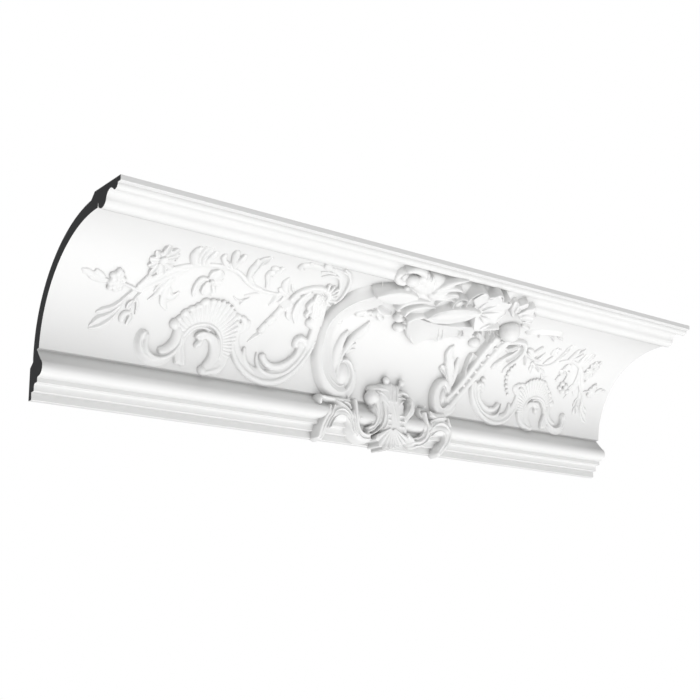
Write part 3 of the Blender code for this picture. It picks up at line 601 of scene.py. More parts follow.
def addHighC(g):
    rise, leaf = middle["cRise"], middle["leafRise"]
    # body of the high C: outer foot, flank, ridge, shallow hollow and inner edge
    foot = [(416, 5, 0), (402, 20, 0), (385, 41, 0), (374, 69, 0), (367, 100, 0), (369, 130, 0),
            (373, 154, 0), (382, 178, 0), (396, 198, 1), (414, 207, 3), (432, 206, 3)]
    flank = [(412, 10, 2), (402, 24, 3), (385.5, 45, 5), (375, 71, 7), (370.5, 100, 8),
             (373, 129, 8.5), (377, 153, 8.5), (386, 176, 8.5), (398, 193, 9), (414, 201, 10),
             (430, 200, 10)]
    ridge = [(406, 14, 7), (402, 31, 13), (388, 53, 14), (379.5, 74, 13), (375.5, 99, rise),
             (378.5, 128, rise), (383, 151, rise), (391, 171, rise), (403, 186, rise),
             (416, 194, rise), (430, 192, rise)]
    inner = [(414, 25, 8), (409, 40, 12), (396, 58, 11.5), (386, 77, 10), (382.5, 100, 9),
             (386, 128, 9), (391, 149, 9), (399, 166, 9), (409, 179, 9), (419, 185, 9),
             (428, 183, 9)]
    edge = [(430, 43, 6), (421, 56, 6), (407, 68, 5.5), (397, 83, 4), (393, 102, 2.4),
            (397, 128, 2.4), (401, 146, 3.5), (408, 159, 5), (415, 169, 6.5), (420, 175, 7),
            (426, 174, 7)]
    last = [(440, 52, 3), (431, 67, 2.4), (416, 77, 1.4), (405, 89, 0.6), (403, 104, 0),
            (409, 128, 0), (411, 142, 1), (415, 154, 2), (419, 162, 4), (422, 166, 4),
            (424, 164, 4)]
    loft(g, [foot, flank, ridge, inner, edge, last])
    stroke(g, [(405, 11), (408, 20), (403, 31), (388, 53), (379.5, 75), (375.5, 99), (378.5, 128),
           (383, 151), (391, 171), (404, 187), (418, 195), (431, 191), (438, 179), (439, 166),
           (434, 155), (426, 149), (418, 151)],
           [2, 4, 5, 5, 5.5, 6, 6, 6, 6.5, 7, 7.5, 8, 8.5, 9, 9, 9, 6], [7, 11, 14.6, 14.8, 13.8,
           rise + 0.8, rise + 0.8, rise + 0.8, rise + 0.8, rise + 0.8, rise + 0.6, rise + 0.4,
           rise, rise, rise - 0.4, rise - 1], 0.2)
    strokes(g, rise, [
        ([(393, 158), (401, 173), (411, 183), (422, 187), (431, 182)], [2, 4, 5, 5, 3],
         [-2, -1.4, -1.2, -1.2, -1.6]),
        ([(441, 160), (444, 171), (443, 184), (434, 196), (420, 203)], [6, 10, 13, 17, 17], -2.0,
         0, "flat")])
    ball(g, 428, 173, 0.0, 17, 22, rise - 1.6, -5)
    ball(g, 424, 169, 0.6, 12.5, 19, middle["ballRise"], -5)
    # two leaves inside the C
    strokes(g, 0, [
        ([(416, 108), (412, 121), (410, 136), (410, 152), (414, 170)], [3, 10, 13, 13, 6],
         [4, leaf - 2, leaf - 0.6, leaf, leaf - 0.6], -0.55),
        ([(414, 172), (415.5, 153), (420, 135), (426, 121), (433, 111), (439, 100), (441, 88)],
         [5, 7, 9, 12, 14, 12, 2],
         [leaf + 1.4, leaf + 1.2, leaf + 0.6, leaf, leaf - 1, leaf - 2, 3], 0.1)])
    stroke(g, [(423, 128), (429, 118), (437, 111), (440, 103)], [3, 5, 5, 2],
           [leaf, leaf + 0.6, leaf - 0.4, leaf - 2], 0.3)
    strokes(g, 0, [
        ([(421, 140), (428, 131), (438, 124)], [6, 8, 3], [leaf - 2, leaf - 4, 2], 0.3),
        ([(424, 142), (432, 136), (441, 132)], [5, 6, 2], [leaf - 4.4, leaf - 6, 1.4])])
    ball(g, 397, 99, 0.6, 3.4, 3.6, 3.0)
    # buds along the lower edge of the C
    strokes(g, 0, [
        ([(426, 72), (418, 78), (413, 84)], [11, 13, 9], [6, 5.5, 4.5], 0.3),
        ([(434, 71), (427, 78), (424, 84)], [7, 9, 5], [5, 5, 3.6]),
        ([(448, 66), (440, 73), (437, 80)], [11, 13, 9], [7, 6, 4.6], 0.3)])
    ball(g, 441, 71, 3.0, 4.5, 5.5, 5)
    strokes(g, 0, [
        ([(445, 74), (453, 80), (460, 82)], [8, 9, 6], [5, 4.6, 3.4], 0.2),
        ([(434, 62), (450, 69), (466, 70)], [12, 16, 10], [7, 7, 5], 0, "soft")])


def addStraps(g):
    rise, turn = middle["strapRise"], middle["voluteRise"]
    # two straps side by side, their groove bridged at intervals
    strokes(g, rise, [
        ([(668, 58), (664, 84), (659, 108), (651, 132), (640, 152), (628, 170), (614, 186)],
         [34, 34, 30, 26, 24, 22, 20], [-4.6, -4.6, -4, -3.4], 0, "flat", (0, 1)),
        ([(679, 58), (675, 80), (670, 102), (663, 122), (655, 139), (645, 156), (632, 173),
         (620, 188), (608, 197)], [16, 16, 15, 14, 12.5, 11.5, 11, 10, 9], [0, 0, 0, 0, 0, -0.4],
         -0.2, "flat"),
        ([(657, 60), (656, 78), (653, 98), (649.5, 116), (643.5, 133), (636, 149), (626, 164),
         (613, 178)], [17, 16, 14, 13, 12, 11, 9.5, 7], [0, 0, 0, 0.2, 0.2, -0.4], 0.2, "flat")])
    bead = [(668, 62), (665.5, 82), (660.5, 105), (654.5, 124), (646, 141), (636, 158), (625, 173)]
    for k in range(middle["beads"]):
        at = spline(bead, middle["beadFrom"] + k * middle["beadStep"])[0]
        ball(g, at.x, at.y, rise - 2.2, 2.6, 2.2, 1.7, 0)
    # rounded post on the left of the straps
    stroke(g, [(640, 103), (640.5, 118), (641.5, 133), (638.5, 149), (631, 163), (620, 177)],
           [12, 13, 12, 11, 9, 5], [rise - 4, rise - 3, rise - 2.2, rise - 1.4, rise - 1], 0.1,
           "dish")
    # volute with the eye in its middle
    ball(g, 606, 178, 0.0, 18, 25, turn - 4)
    strokes(g, turn, [
        ([(632, 181), (622, 194), (609, 200), (598, 194), (593, 178), (595.5, 163), (603, 155),
         (611, 158), (615, 168)], [13, 15, 17, 17, 15, 14, 13, 10, 6],
         [-1, -0.6, 0, 0, 0, -0.4, -1, -2, -3], 0, "flat", (1, 1), 16),
        ([(617, 186), (607, 194), (599, 189), (596, 177), (598.5, 165), (605, 159)],
         [3, 4, 4, 4, 4, 2], 0.8)])
    ball(g, 606, 176, 0.6, 7.0, 14.0, turn - 0.8, -4)
    stroke(g, [(594, 200), (605, 207), (618, 203)], [10, 13, 10], turn - 2, 0, "flat")
    # leaf rising from the volute, with its lobes
    strokes(g, 0, [
        ([(617, 172), (617, 155), (612, 139), (605, 124), (600, 111), (601, 98)],
         [8, 12, 15, 16, 13, 2], [9, 8, 7.4, 6.6, 5.6, 3], -0.2),
        ([(608, 128), (600, 120), (595.5, 111), (596.5, 103), (601, 97)], [6, 9, 9, 7, 2],
         [7, 6.6, 5.6, 4.6, 2.6], -0.4),
        ([(617, 157), (613, 147), (605, 139), (598, 135), (594.5, 131)], [7, 12, 13, 11, 8],
         [8.4, 7.6, 6.8, 5.6, 4.2], 0.15, "dish"),
        ([(615, 142), (611, 130), (606, 119), (603, 112)], [4, 8, 7, 2], [7.6, 7.4, 6.4, 4], 0.4),
        ([(619, 160), (621, 145), (621, 130), (618, 115)], [7, 11, 10, 3], [7.4, 7, 6.2, 3.4],
         0.4)])


def addDroopingFlowers(g):
    # ribbon that droops over broad petals and ends in a thin tail
    strokes(g, 0, [
        ([(682, 76), (692, 71), (706, 67), (719, 70), (726, 80), (728, 90), (725, 101), (719, 109),
         (713, 117), (712, 126)], [8, 9, 9, 9, 8.5, 8, 7, 5, 3, 2],
         [7, 7, 7, 6.4, 6, 5.6, 4.6, 3.6, 2.6, 2], -0.3),
        ([(712, 72), (702, 80), (694, 88)], [10, 13, 10], [7.4, 7.6, 6], 0.2, "dish"),
        ([(717, 76), (714, 88), (708, 98), (700, 104)], [8, 12, 13, 9], [7, 7, 6.4, 5], -0.2,
         "dish"),
        ([(690, 80), (686, 92), (687, 103)], [8, 11, 7], [6, 6, 4.4], 0.2),
        ([(704, 98), (698, 108), (692, 116), (688, 122)], [7, 11, 11, 5], [5.4, 5, 4.2, 2.6], 0.1,
         "leaf")])


def addBrackets(g):
    rise = middle["footRise"]
    # left bracket: its body, the arch and the foot that reaches down the lower moulding
    strokes(g, rise, [
        ([(386, 205), (400, 207), (420, 207), (437, 206)], [7, 10, 11, 9], -1),
        ([(386, 262), (393, 244), (402, 230), (414, 220), (427, 219), (437, 229), (443, 242),
         (456, 250), (476, 249)], [13, 17, 19, 17, 16, 16, 17, 17, 14], [-2, -1.6, -1.4], 0,
         "flat"),
        ([(391, 203), (387.5, 210), (389, 217)], [7, 10, 6], [0, 0.4, -1]),
        ([(406, 214), (399, 228), (390, 243), (384, 261)], [7, 9, 9, 8], [0, 0.4, 0, -2], 0.2),
        ([(412, 213), (405, 226), (397, 239), (390.5, 251), (389, 262)], [4, 5.5, 6, 7, 7],
         [0.8, 0.8, 0.4, 0, -2], 0.2),
        ([(396, 248), (404, 234), (412, 223), (422, 219), (432, 222.5), (439, 232), (442, 243),
         (449, 252)], [3, 5, 5.5, 5.5, 5.5, 5.5, 5, 3], 1),
        ([(403, 246), (409, 235), (416, 228.5), (425, 227.5), (433, 233), (437, 242), (443, 251)],
         [4, 6, 7, 7, 6, 5, 3], 0.6, -0.2),
        ([(411, 209), (422, 212), (433, 218), (441, 229)], [3, 4.5, 5, 4], 1),
        ([(424, 209), (433, 211), (438, 218)], [4, 6, 3], 1.2),
        ([(432, 198), (436, 205), (437, 214)], [5, 7, 5], [-1, 0.4, 0], 0, "ridge"),
        # tall leaf that turns into the left swag
        ([(445, 200), (446, 214), (447, 230), (451, 242), (461, 248), (473, 246)],
         [8, 9.5, 9, 9, 9, 8], [0.6, 1.6, 1.6, 1, 1], -0.1),
        ([(441, 216), (443, 232), (447, 245), (456, 253), (470, 253)], [3, 5, 6, 6, 4],
         [0.6, 0.8, 0.8, 0.4])])
    ball(g, 454, 227, rise - 1, 2.6, 2.6, 2)
    # right bracket, its foot turned the other way
    strokes(g, rise, [
        ([(578, 206), (594, 210), (612, 205)], [12, 17, 16], -1, 0, "flat"),
        ([(549, 250), (564, 245), (576, 232), (590, 221), (604, 218), (614, 226), (612, 240),
         (602, 252), (593, 262)], [13, 15, 19, 18, 18, 18, 17, 14, 10],
         [-1.4, -1.4, -1.4, -1.4, -1.6, -2], 0, "flat"),
        ([(572, 238), (581, 227), (591, 219.5), (602, 217), (611, 221), (617, 230), (614, 241),
         (605, 252), (596, 262)], [4, 6, 7, 8, 9, 9.5, 9, 8, 7], [0.8, 0.8, 0.8, 0.8, 0.6, 0, -2],
         0.1),
        ([(580, 238), (589, 230.5), (600, 228), (607, 232), (606.5, 242), (600, 251), (592, 260)],
         [4, 6, 7.5, 7, 6.5, 6, 4], [0.6, 0.6, 0.4, 0, -2], 0.1),
        ([(578, 218), (588, 213), (600, 210), (611, 210)], [3, 4, 5, 5], 1),
        ([(577, 202), (583, 208), (592, 211)], [4, 5, 3], 1),
        ([(613, 206), (616, 216), (622, 224)], [6, 8, 6], [-1, -0.6, -1.6]),
        # tall leaf that turns into the right swag
        ([(568.5, 203), (571, 214), (574, 226), (570, 239), (559, 247), (545, 249)],
         [9, 9.5, 9, 9, 9.5, 8], [0.8, 1.4, 1.4, 1]),
        ([(580, 214), (581, 226), (576, 240), (564, 250), (549, 254)], [3, 4.5, 5, 5, 3],
         [0.8, 0.8, 0.6, 0.4]),
        ([(566, 224), (565, 234), (558, 241), (547, 243.5)], [2.5, 4, 4.5, 3], 1),
        ([(563, 198), (563, 206), (566, 213)], [5, 6, 4], -4, 0, "soft"),
        ([(570, 194), (570.5, 199)], [4, 5], [-3, -1])])


def addShellFoot(g):
    rise = middle["footRise"] + 2
    # body of the shell: thin at the top, standing well off the mouldings at the bottom
    stroke(g, [(517, 171), (514, 182), (510, 198), (508.5, 218), (508, 238), (506, 250)],
           [14, 48, 58, 54, 58, 48],
           [rise - 12, rise - 8, rise - 2.6, rise - 0.8, rise - 1, rise - 1.4], 0, "flat", (1, 1),
           16)
    # left curl with its round top, hook and fluted side
    ball(g, 479, 195.5, rise - 11, 10.5, 11.5, 10.5)
    stroke(g, [(480, 191), (483.5, 201), (485, 213), (482.5, 226), (475.5, 236), (464, 241)],
           [14, 14, 12, 12, 11, 8], [rise - 3, rise - 1.4, rise - 0.6, rise - 1], 0, "flat")
    for path, wide in (([(477, 206), (479.5, 214), (480.5, 224), (475, 234), (464, 238.5)], 4.6),
                       ([(485, 196), (486, 207), (486.5, 218), (483, 230), (474, 239),
                         (464, 244)], 5.0),
                       ([(492, 200), (493.5, 211), (493, 222), (488.5, 233), (480, 241),
                         (470, 247)], 4.6),
                       ([(498, 206), (499, 216), (498, 228), (491, 238)], 4.4)):
        stroke(g, path, [wide * 0.6] + [wide] * (len(path) - 2) + [wide * 0.6],
               [rise - 1.6, rise + 1, rise + 1, rise + 1])
    strokes(g, rise, [
        ([(477, 209), (479, 215), (481, 221), (478.5, 228), (472.5, 230.5), (467, 227.5)],
         [6, 6, 6, 6, 5.5, 4.5], [-3.4, -2.6, -2, -2, -2]),
        # spread leaf over the left curl
        ([(474, 186), (480, 182), (491, 180.5), (503, 181), (510, 185)], [5, 8, 9, 8, 5],
         [-9, -8, -7, -6.4], 0.2),
        ([(484, 185), (492, 187), (499, 192), (505, 201)], [5, 7, 8, 5], [-6, -5, -3, -1], 0,
         "soft"),
        ([(492, 192), (497, 199), (503, 206)], [7, 9, 5], [-4, -2, 0], 0, "soft")])
    # centre: upright ribs, the spine and the rungs beside it
    for u0, u1, wide in ((510, 502, 4.6), (515.5, 507.5, 4.6), (522, 515.5, 5.4)):
        stroke(g, [(u0, 172), ((u0 + u1) / 2 + 1, 184), (u1, 200)], [wide * 0.8, wide, wide * 0.8],
               [rise - 10, rise - 5.4, rise - 0.4])
    stroke(g, [(510, 200), (512, 212), (514.5, 224), (515.5, 236)], [6, 8, 8, 4],
           [rise + 0.4, rise + 1.6, rise + 1.6, rise], -0.1, "ridge")
    for v in (216.5, 223.5, 231):
        stroke(g, [(497.5, v), (502, v + 0.6), (507, v)], [3.6, 5.4, 4.4],
               [rise, rise + 1, rise + 0.6])
        stroke(g, [(519.5, v), (525.5, v + 0.6), (530.5, v)], [4, 5.4, 3.6],
               [rise + 0.4, rise + 1, rise])
    # buds on their stalks
    ball(g, 503.5, 167, 3.4, 5.6, 5.4, 4.4)
    stroke(g, [(505, 170), (507, 176), (508, 182)], [5, 5, 4], [5, 7, rise - 8])
    ball(g, 531, 167, 3.4, 4.6, 5.4, 4.4)
    stroke(g, [(529, 171), (525, 177), (523, 182)], [4.4, 5, 4], [5, 7, rise - 8])
    # right curl with its leaf
    strokes(g, rise, [
        ([(521, 185), (530, 181.5), (538, 182), (544, 186)], [5, 7, 8, 5], [-6, -6.6, -7, -9],
         0.2),
        ([(521, 191), (530, 189), (538, 191)], [4, 7, 5], [-4, -5, -6], 0, "soft"),
        ([(519.5, 205), (525.5, 198), (533, 193.5)], [4, 6, 3], [-1, -2.4, -4.4]),
        ([(543, 187), (547, 195), (545, 206), (536.5, 215), (529, 226)], [11, 16, 17, 14, 9],
         [-9, -5.4, -3, -1.4, -0.4], 0, "flat"),
        ([(535, 212), (531, 221), (530, 231), (533, 240)], [10, 10, 11, 10], [-2, -1.4, -1.6, -1],
         0, "flat"),
        ([(541, 192), (543, 200), (538, 209), (532, 217)], [3, 4, 4, 3], -0.2),
        ([(533, 237), (541, 243.5), (550, 246)], [9, 9, 7], -1.4, 0, "flat")])
    # fan at the bottom
    fan(g, (506.5, 233), 4, [33, 36, 37, 31, 27, 27, 28, 29, 30], 205, 340, 9,
        [rise + 1, rise + 0.6, rise + 0.6, rise + 1], 1.1, 0.07)


crestWork = {"seenAt": 3.0, "slide": (1.05, 0.85), "sunk": 5.0, "bossRise": 16.0,
             "shellRise": 13.0, "leafRise": 7.0, "ball": 16.0}


def addCrest(g):
    # a place is given as seen from the front left on the plane, and slid back by its height
    slide, leaf, sunk = crestWork["slide"], crestWork["leafRise"], crestWork["sunk"]

    def at(points, h):
        h -= crestWork["seenAt"]
        return [(u - slide[0] * h, w - slide[1] * h) for u, w in points]

    def lay(ground, *table):
        for points, width, high, *rest in table:
            most = (max(high) if isinstance(high, list) else high) - (0 if ground is g else sunk)
            stroke(ground, at(points, most), width, high, *rest)

    def dome(u, w, h, ru, rw, rh, turn=0.0):
        (u, w), = at([(u, w)], h + rh)
        ball(g, u, w, h, ru, rw, rh, turn)

    # the rosette lies deeper, in the hollow of the upper moulding
    deep = dict(g, place=lambda u, w, h: onCrest(u, w, h - sunk),
                root=lambda w: crestRoot(w) + sunk)

    # body that all of it grows from
    dome(500, 62, -9, 78, 30, 13, 4)
    dome(560, 42, -9, 58, 30, 14, 8)
    dome(480, 36, -6, 40, 20, 11, 20)
    # smooth belly where the C ends, and the rosette on it
    lay(g, ([(402, 71), (416, 67), (430, 63), (445, 60), (462, 57)], [6, 21, 29, 27, 12],
            [4, 5, 6.5, 7, 5], -0.6))
    lay(deep,
        ([(426, 36), (413, 35), (405, 27), (412, 17)], [9, 11, 11, 7], [6, 7, 7, 6], -0.2),
        ([(411, 18), (422, 12), (436, 13), (446, 20)], [8, 12, 13, 8], [7, 8, 8, 7], -0.2),
        ([(414, 30), (410, 24), (414, 19)], [3, 4, 3], 9),
        ([(436, 28), (448, 24), (460, 28)], [13, 19, 12], [7, 8, 6], -0.2),
        ([(436, 36), (451, 38), (466, 46)], [14, 20, 13], [7, 8.5, 6], -0.2),
        ([(428, 41), (438, 48), (452, 51)], [9, 12, 7], [6, 7, 5]))
    dome(434, 32, -2, 10.5, 9, 8)
    lay(deep,
        ([(441, 10), (446, 15), (447, 21)], [4, 6, 4], 9),
        ([(450, 11), (455, 17), (454, 24)], [3, 5, 3], 8),
        ([(462, 19), (467, 31), (471, 46)], [3, 6, 5], [8, 10, 8], 0.3))
    # leaves between the rosette and the boss
    lay(g,
        ([(470, 46), (484, 42), (498, 42), (512, 40)], [14, 24, 18, 5], [6, 8, 7, 5]),
        ([(474, 38), (485, 24), (496, 14), (512, 8)], [9, 14, 10, 3], [leaf, leaf + 1, leaf, 4],
         -0.4),
        ([(474, 44), (486, 33), (500, 26), (517, 28)], [10, 15, 12, 3],
         [leaf + 1, leaf + 2, leaf + 2, 6], -0.45),
        ([(478, 52), (492, 44), (506, 37), (518, 38)], [8, 13, 12, 4],
         [leaf, leaf + 2, leaf + 2, 6], -0.3, "leaf"),
        ([(492, 60), (494, 50), (504, 44), (516, 44)], [3, 4, 4, 3], 9.5),
        # folded leaves above the hanging shell
        ([(446, 84), (448, 70), (461, 61), (484, 57)], [5, 10, 10, 4], [6, 8, 8, 5], -0.3),
        ([(463, 91), (463, 78), (475, 68), (497, 63)], [5, 10, 9, 3], [8, 9, 9, 7], -0.3),
        ([(474, 98), (483, 88), (497, 79), (508, 70)], [5, 10, 9, 4], [8, 8.5, 9, 7], -0.3))
    # almond boss with its rim
    top = crestWork["bossRise"]
    lay(g,
        ([(495, 86), (512, 79), (532, 71), (553, 63), (572, 55)], [6, 32, 40, 32, 6],
         [11, 13, 13.5, 13, 11], 0, "flat"),
        ([(500, 84), (514, 78), (532, 71.5), (551, 64), (566, 58)], [3, 23, 29, 23, 3],
         [12, top - 0.6, top, top - 0.6, 12]),
        ([(496, 84), (506, 68), (526, 57), (549, 52), (569, 54)], [3, 4, 4, 4, 3], 15))
    # scalloped shell above it
    rise = crestWork["shellRise"]
    (u, w), = at([(562, 54)], rise - 2)
    fan(g, (u, w), 4, [34, 42, 32, 40, 36, 46, 41, 40, 38, 38, 34], 140, -60, 5,
        [rise - 5, rise - 5, rise - 3, rise], 0.9, 0.0)
    lay(g, ([(537, 50), (533, 34), (541, 19), (552, 20), (563, 27), (570, 16), (579, 18),
             (586, 26), (593, 22), (600, 26), (601, 36), (605, 44), (602, 54), (603, 64),
             (594, 72), (588, 82)], 3.4, rise + 1.2))
    for line in ([(563, 27), (560, 38), (558, 48)], [(586, 26), (576, 38), (566, 49)],
                 [(601, 40), (586, 47), (570, 54)], [(602, 57), (588, 58), (572, 58)],
                 [(596, 72), (584, 67), (572, 61)]):
        lay(g, (line, [3, 2.6, 2], rise - 1.6))
    lay(g,
        ([(526, 58), (523, 48), (528, 41)], [9, 13, 9], 9, 0, "flat"),
        ([(520, 58), (516, 47), (521, 38), (534, 37)], 3.4, 12),
        ([(530, 56), (527, 48), (531, 41)], [2, 3, 2], 11))
    # flowers at the right end
    dome(630, 30, -8, 22, 10, 8)
    for wide, line in ((12, [(627, 48), (615, 32), (609, 22)]),
                       (12, [(624, 40), (622, 28), (632, 19)]),
                       (17, [(630, 43), (639, 33), (651, 25)]),
                       (13, [(638, 47), (649, 42), (665, 42)]),
                       (9, [(649, 53), (655, 51), (666, 53)])):
        lay(g, (line, [wide * 0.5, wide, wide * 0.8], [5, 5, 4], 0, "dish"))
    lay(g,
        ([(628, 38), (636, 30), (645, 24)], [2, 4, 2], 5.6),
        ([(636, 42), (648, 37), (657, 33)], [2, 4, 2], 5.6))


def addCrestFoot(g):
    # hanging shell below the boss, its rim, ribs and curled tip
    top = [(472, 46, 18), (494, 42, 26), (518, 40, 28), (541, 37, 28), (563, 34, 26),
           (590, 36, 20)]
    belly = [(488, 69, 14), (509, 72, 20), (529, 69, 22), (550, 65, 22), (567, 58, 21),
             (584, 54, 18), (601, 55, 14)]
    rim = [(502, 90, 8), (514, 98, 9), (528, 104, 9), (538, 92, 11), (550, 89, 11), (560, 92, 10),
           (566, 83, 11), (583, 75, 11), (597, 79, 9), (608, 69, 9)]
    foot = [(u + 2, v + 3, 0) for u, v, _ in rim]
    loft(g, [top, belly, rim, foot])
    for rib in ([(528, 52), (541, 70), (556, 90)], [(535, 52), (548, 70), (562, 89)],
                [(560, 46), (573, 60), (584, 74)], [(567, 46), (579, 59), (589, 74)]):
        stroke(g, rib, [2.4, 3, 2.4], [27.5, 23.5, 13.5])
    stroke(g, [(503, 86), (513, 96), (527, 107)], [4, 8, 3], [9, 11, 9], 0.3, "ridge")
    # round lobes, the small flower, ribbon and loop beside the ball
    for u, v, r in ((465, 51, 8), (474, 61, 6), (478, 70, 8.5), (488, 86, 8.5), (500, 81, 7.5),
                    (493, 72, 7)):
        ball(g, u, v, 3.0, r, r * 0.9, 8)
    stroke(g, [(596, 57), (608, 47), (622, 40), (636, 38)], [5, 8, 8, 4], [15, 18, 18, 15], 0,
           "leaf")
    roundFlower(g, 613, 63, 10, 8, 14)
    ball(g, 630, 86, 1.0, 10, 8, 8)
    strokes(g, 0, [
        ([(626, 50), (640, 60), (646, 76)], [7, 11, 7], [13, 13, 11], 0, "dish"),
        ([(676, 31), (686, 33), (699, 37)], [4, 6, 2], 6, 0, "leaf")])
    ball(g, 664, 46, 7.0, crestWork["ball"])


# materials
# the reach, samples and range of the ambient occlusion here mark the creases that get painted
# shade
spray = {"cloudScale": 9.0, "cloudDetail": 3.0, "peelScale": 900.0, "peelDetail": 2.0,
         "uneven": 0.04, "creaseShadeReach": 0.010, "creaseShadeSamples": 12, "creaseShadeFrom": 0.93,
         "creaseShadeFull": 0.35, "bump": 0.35, "specular": 0.45}
# each finish's darkest colour is painted shade, mixed into its creases
primer = {"White": (0.76, 0.76, 0.757), "Shade": (0.72, 0.72, 0.715), "PaintedCreaseShade": (0.58, 0.58, 0.576),
          "Roughness": 0.42, "Grain": 1.0, "depth": 0.00004}
cutFoam = {"White": (0.075, 0.077, 0.08), "Shade": (0.06375, 0.06545, 0.068),
           "PaintedCreaseShade": (0.06375, 0.06545, 0.068), "Roughness": 0.75, "Grain": 1.0, "depth": 0.0002}


def addNode(nodes, kind, values):
    node = nodes.new(kind)
    for name, value in values.items():
        node.inputs[name].default_value = value
    return node


def moulderFinishGroup():
    # fine orange peel of sprayed primer and faint unevenness, from Object coordinates, and painted
    # shade in creases
    group = bpy.data.node_groups.new("sprayedPrimerAndCreaseShade", "ShaderNodeTree")
    for side, sockets in (("INPUT", {"White": "Color", "Shade": "Color", "PaintedCreaseShade": "Color",
                                     "Roughness": "Float", "Grain": "Float"}),
                          ("OUTPUT", {"Color": "Color", "Roughness": "Float",
                                      "Height": "Float"})):
        for name, kind in sockets.items():
            group.interface.new_socket(name, in_out=side, socket_type="NodeSocket" + kind)
    nodes, links = group.nodes, group.links
    inside = nodes.new("NodeGroupInput")
    outside = nodes.new("NodeGroupOutput")
    place = nodes.new("ShaderNodeTexCoord")
    cloud = addNode(nodes, "ShaderNodeTexNoise", {"Scale": spray["cloudScale"],
                                                  "Detail": spray["cloudDetail"]})
    peel = addNode(nodes, "ShaderNodeTexNoise", {"Scale": spray["peelScale"],
                                                 "Detail": spray["peelDetail"]})
    for texture in (cloud, peel):
        links.new(place.outputs["Object"], texture.inputs["Vector"])
    # colour drifts between white and shade, and creases found by ambient occlusion are painted
    # grey in the darkest colour: painted shade
    mix, thin = nodes.new("ShaderNodeMix"), nodes.new("ShaderNodeMix")
    for node in (mix, thin):
        node.data_type = "RGBA"
    crease = addNode(nodes, "ShaderNodeAmbientOcclusion", {"Distance": spray["creaseShadeReach"]})
    crease.samples = spray["creaseShadeSamples"]
    deep = addNode(nodes, "ShaderNodeMapRange", {"From Min": spray["creaseShadeFrom"],
                                                 "From Max": spray["creaseShadeFull"]})
    links.new(cloud.outputs["Fac"], mix.inputs["Factor"])
    links.new(inside.outputs["White"], mix.inputs["A"])
    links.new(inside.outputs["Shade"], mix.inputs["B"])
    links.new(crease.outputs["AO"], deep.inputs["Value"])
    links.new(deep.outputs["Result"], thin.inputs["Factor"])
    links.new(mix.outputs["Result"], thin.inputs["A"])
    links.new(inside.outputs["PaintedCreaseShade"], thin.inputs["B"])
    links.new(thin.outputs["Result"], outside.inputs["Color"])
    # roughness drifts with the colour
    rough = addNode(nodes, "ShaderNodeMapRange", {"From Min": 0.3, "From Max": 0.7,
                                                  "To Min": -spray["uneven"],
                                                  "To Max": spray["uneven"]})
    add, lift = nodes.new("ShaderNodeMath"), nodes.new("ShaderNodeMath")
    add.operation, lift.operation = "ADD", "MULTIPLY"
    links.new(cloud.outputs["Fac"], rough.inputs["Value"])
    links.new(rough.outputs["Result"], add.inputs[0])
    links.new(inside.outputs["Roughness"], add.inputs[1])
    links.new(add.outputs["Value"], outside.inputs["Roughness"])
    links.new(peel.outputs["Fac"], lift.inputs[0])
    links.new(inside.outputs["Grain"], lift.inputs[1])
    links.new(lift.outputs["Value"], outside.inputs["Height"])
    return group


def makeFinish(name, group, values):
    material = bpy.data.materials.new(name)
    material.use_nodes = True
    nodes, links = material.node_tree.nodes, material.node_tree.links
    shader = nodes["Principled BSDF"]
    finish = nodes.new("ShaderNodeGroup")
    finish.node_tree = group
    for colour in ("White", "Shade", "PaintedCreaseShade"):
        finish.inputs[colour].default_value = (*values[colour], 1.0)
    for number in ("Roughness", "Grain"):
        finish.inputs[number].default_value = values[number]
    bump = addNode(nodes, "ShaderNodeBump", {"Strength": spray["bump"],
                                             "Distance": values["depth"]})
    links.new(finish.outputs["Color"], shader.inputs["Base Color"])
    links.new(finish.outputs["Roughness"], shader.inputs["Roughness"])
    links.new(finish.outputs["Height"], bump.inputs["Height"])
    links.new(bump.outputs["Normal"], shader.inputs["Normal"])
    shader.inputs["Specular IOR Level"].default_value = spray["specular"]
    return material


# building the pieces
cast = {"voxel": 0.75, "soften": 1, "softenBy": 0.5, "most": 135000, "crease": 60.0}


def makePiece(name, bm):
    mesh = bpy.data.meshes.new(name)
    bm.to_mesh(mesh)
    bm.free()
    piece = bpy.data.objects.new(name, mesh)
    bpy.context.scene.collection.objects.link(piece)
    return piece


def settle(piece):
    bpy.context.view_layer.update()
    shaped = piece.evaluated_get(bpy.context.evaluated_depsgraph_get())
    mesh = bpy.data.meshes.new_from_object(shaped)
    piece.modifiers.clear()
    piece.data = mesh


def dropFlaps(mesh):
    # two triangles left lying on each other by the thinning go together, so the skin stays closed
    bm = bmesh.new()
    bm.from_mesh(mesh)
    found = {}
    for face in bm.faces:
        found.setdefault(frozenset(vert.index for vert in face.verts), []).append(face)
    flaps = [face for faces in found.values() if len(faces) > 1 for face in faces]
    bmesh.ops.delete(bm, geom=flaps, context="FACES")
    bm.to_mesh(mesh)
    bm.free()


def castRelief(name, grounds, material):
    # the strokes of a group melted into one closed skin
    whole = {"bm": bmesh.new()}
    for ground in grounds:
        addTo(whole, ground["bm"])
    piece = makePiece(name, whole["bm"])
    melt = piece.modifiers.new("melt", "REMESH")
    melt.mode = "VOXEL"
    melt.voxel_size = cast["voxel"] * mm
    soften = piece.modifiers.new("soften", "SMOOTH")
    soften.factor = cast["softenBy"]
    soften.iterations = cast["soften"]
    settle(piece)
    triangles = len(piece.data.polygons) * 2
    if triangles > cast["most"]:
        thin = piece.modifiers.new("thin", "DECIMATE")
        thin.ratio = cast["most"] / triangles
        settle(piece)
        dropFlaps(piece.data)
    piece.data.materials.clear()
    piece.data.materials.append(material)
    piece.data.shade_smooth()
    piece.data.set_sharp_from_angle(angle=math.radians(cast["crease"]))
    print(name, "triangles", sum(len(p.vertices) - 2 for p in piece.data.polygons))
    return piece


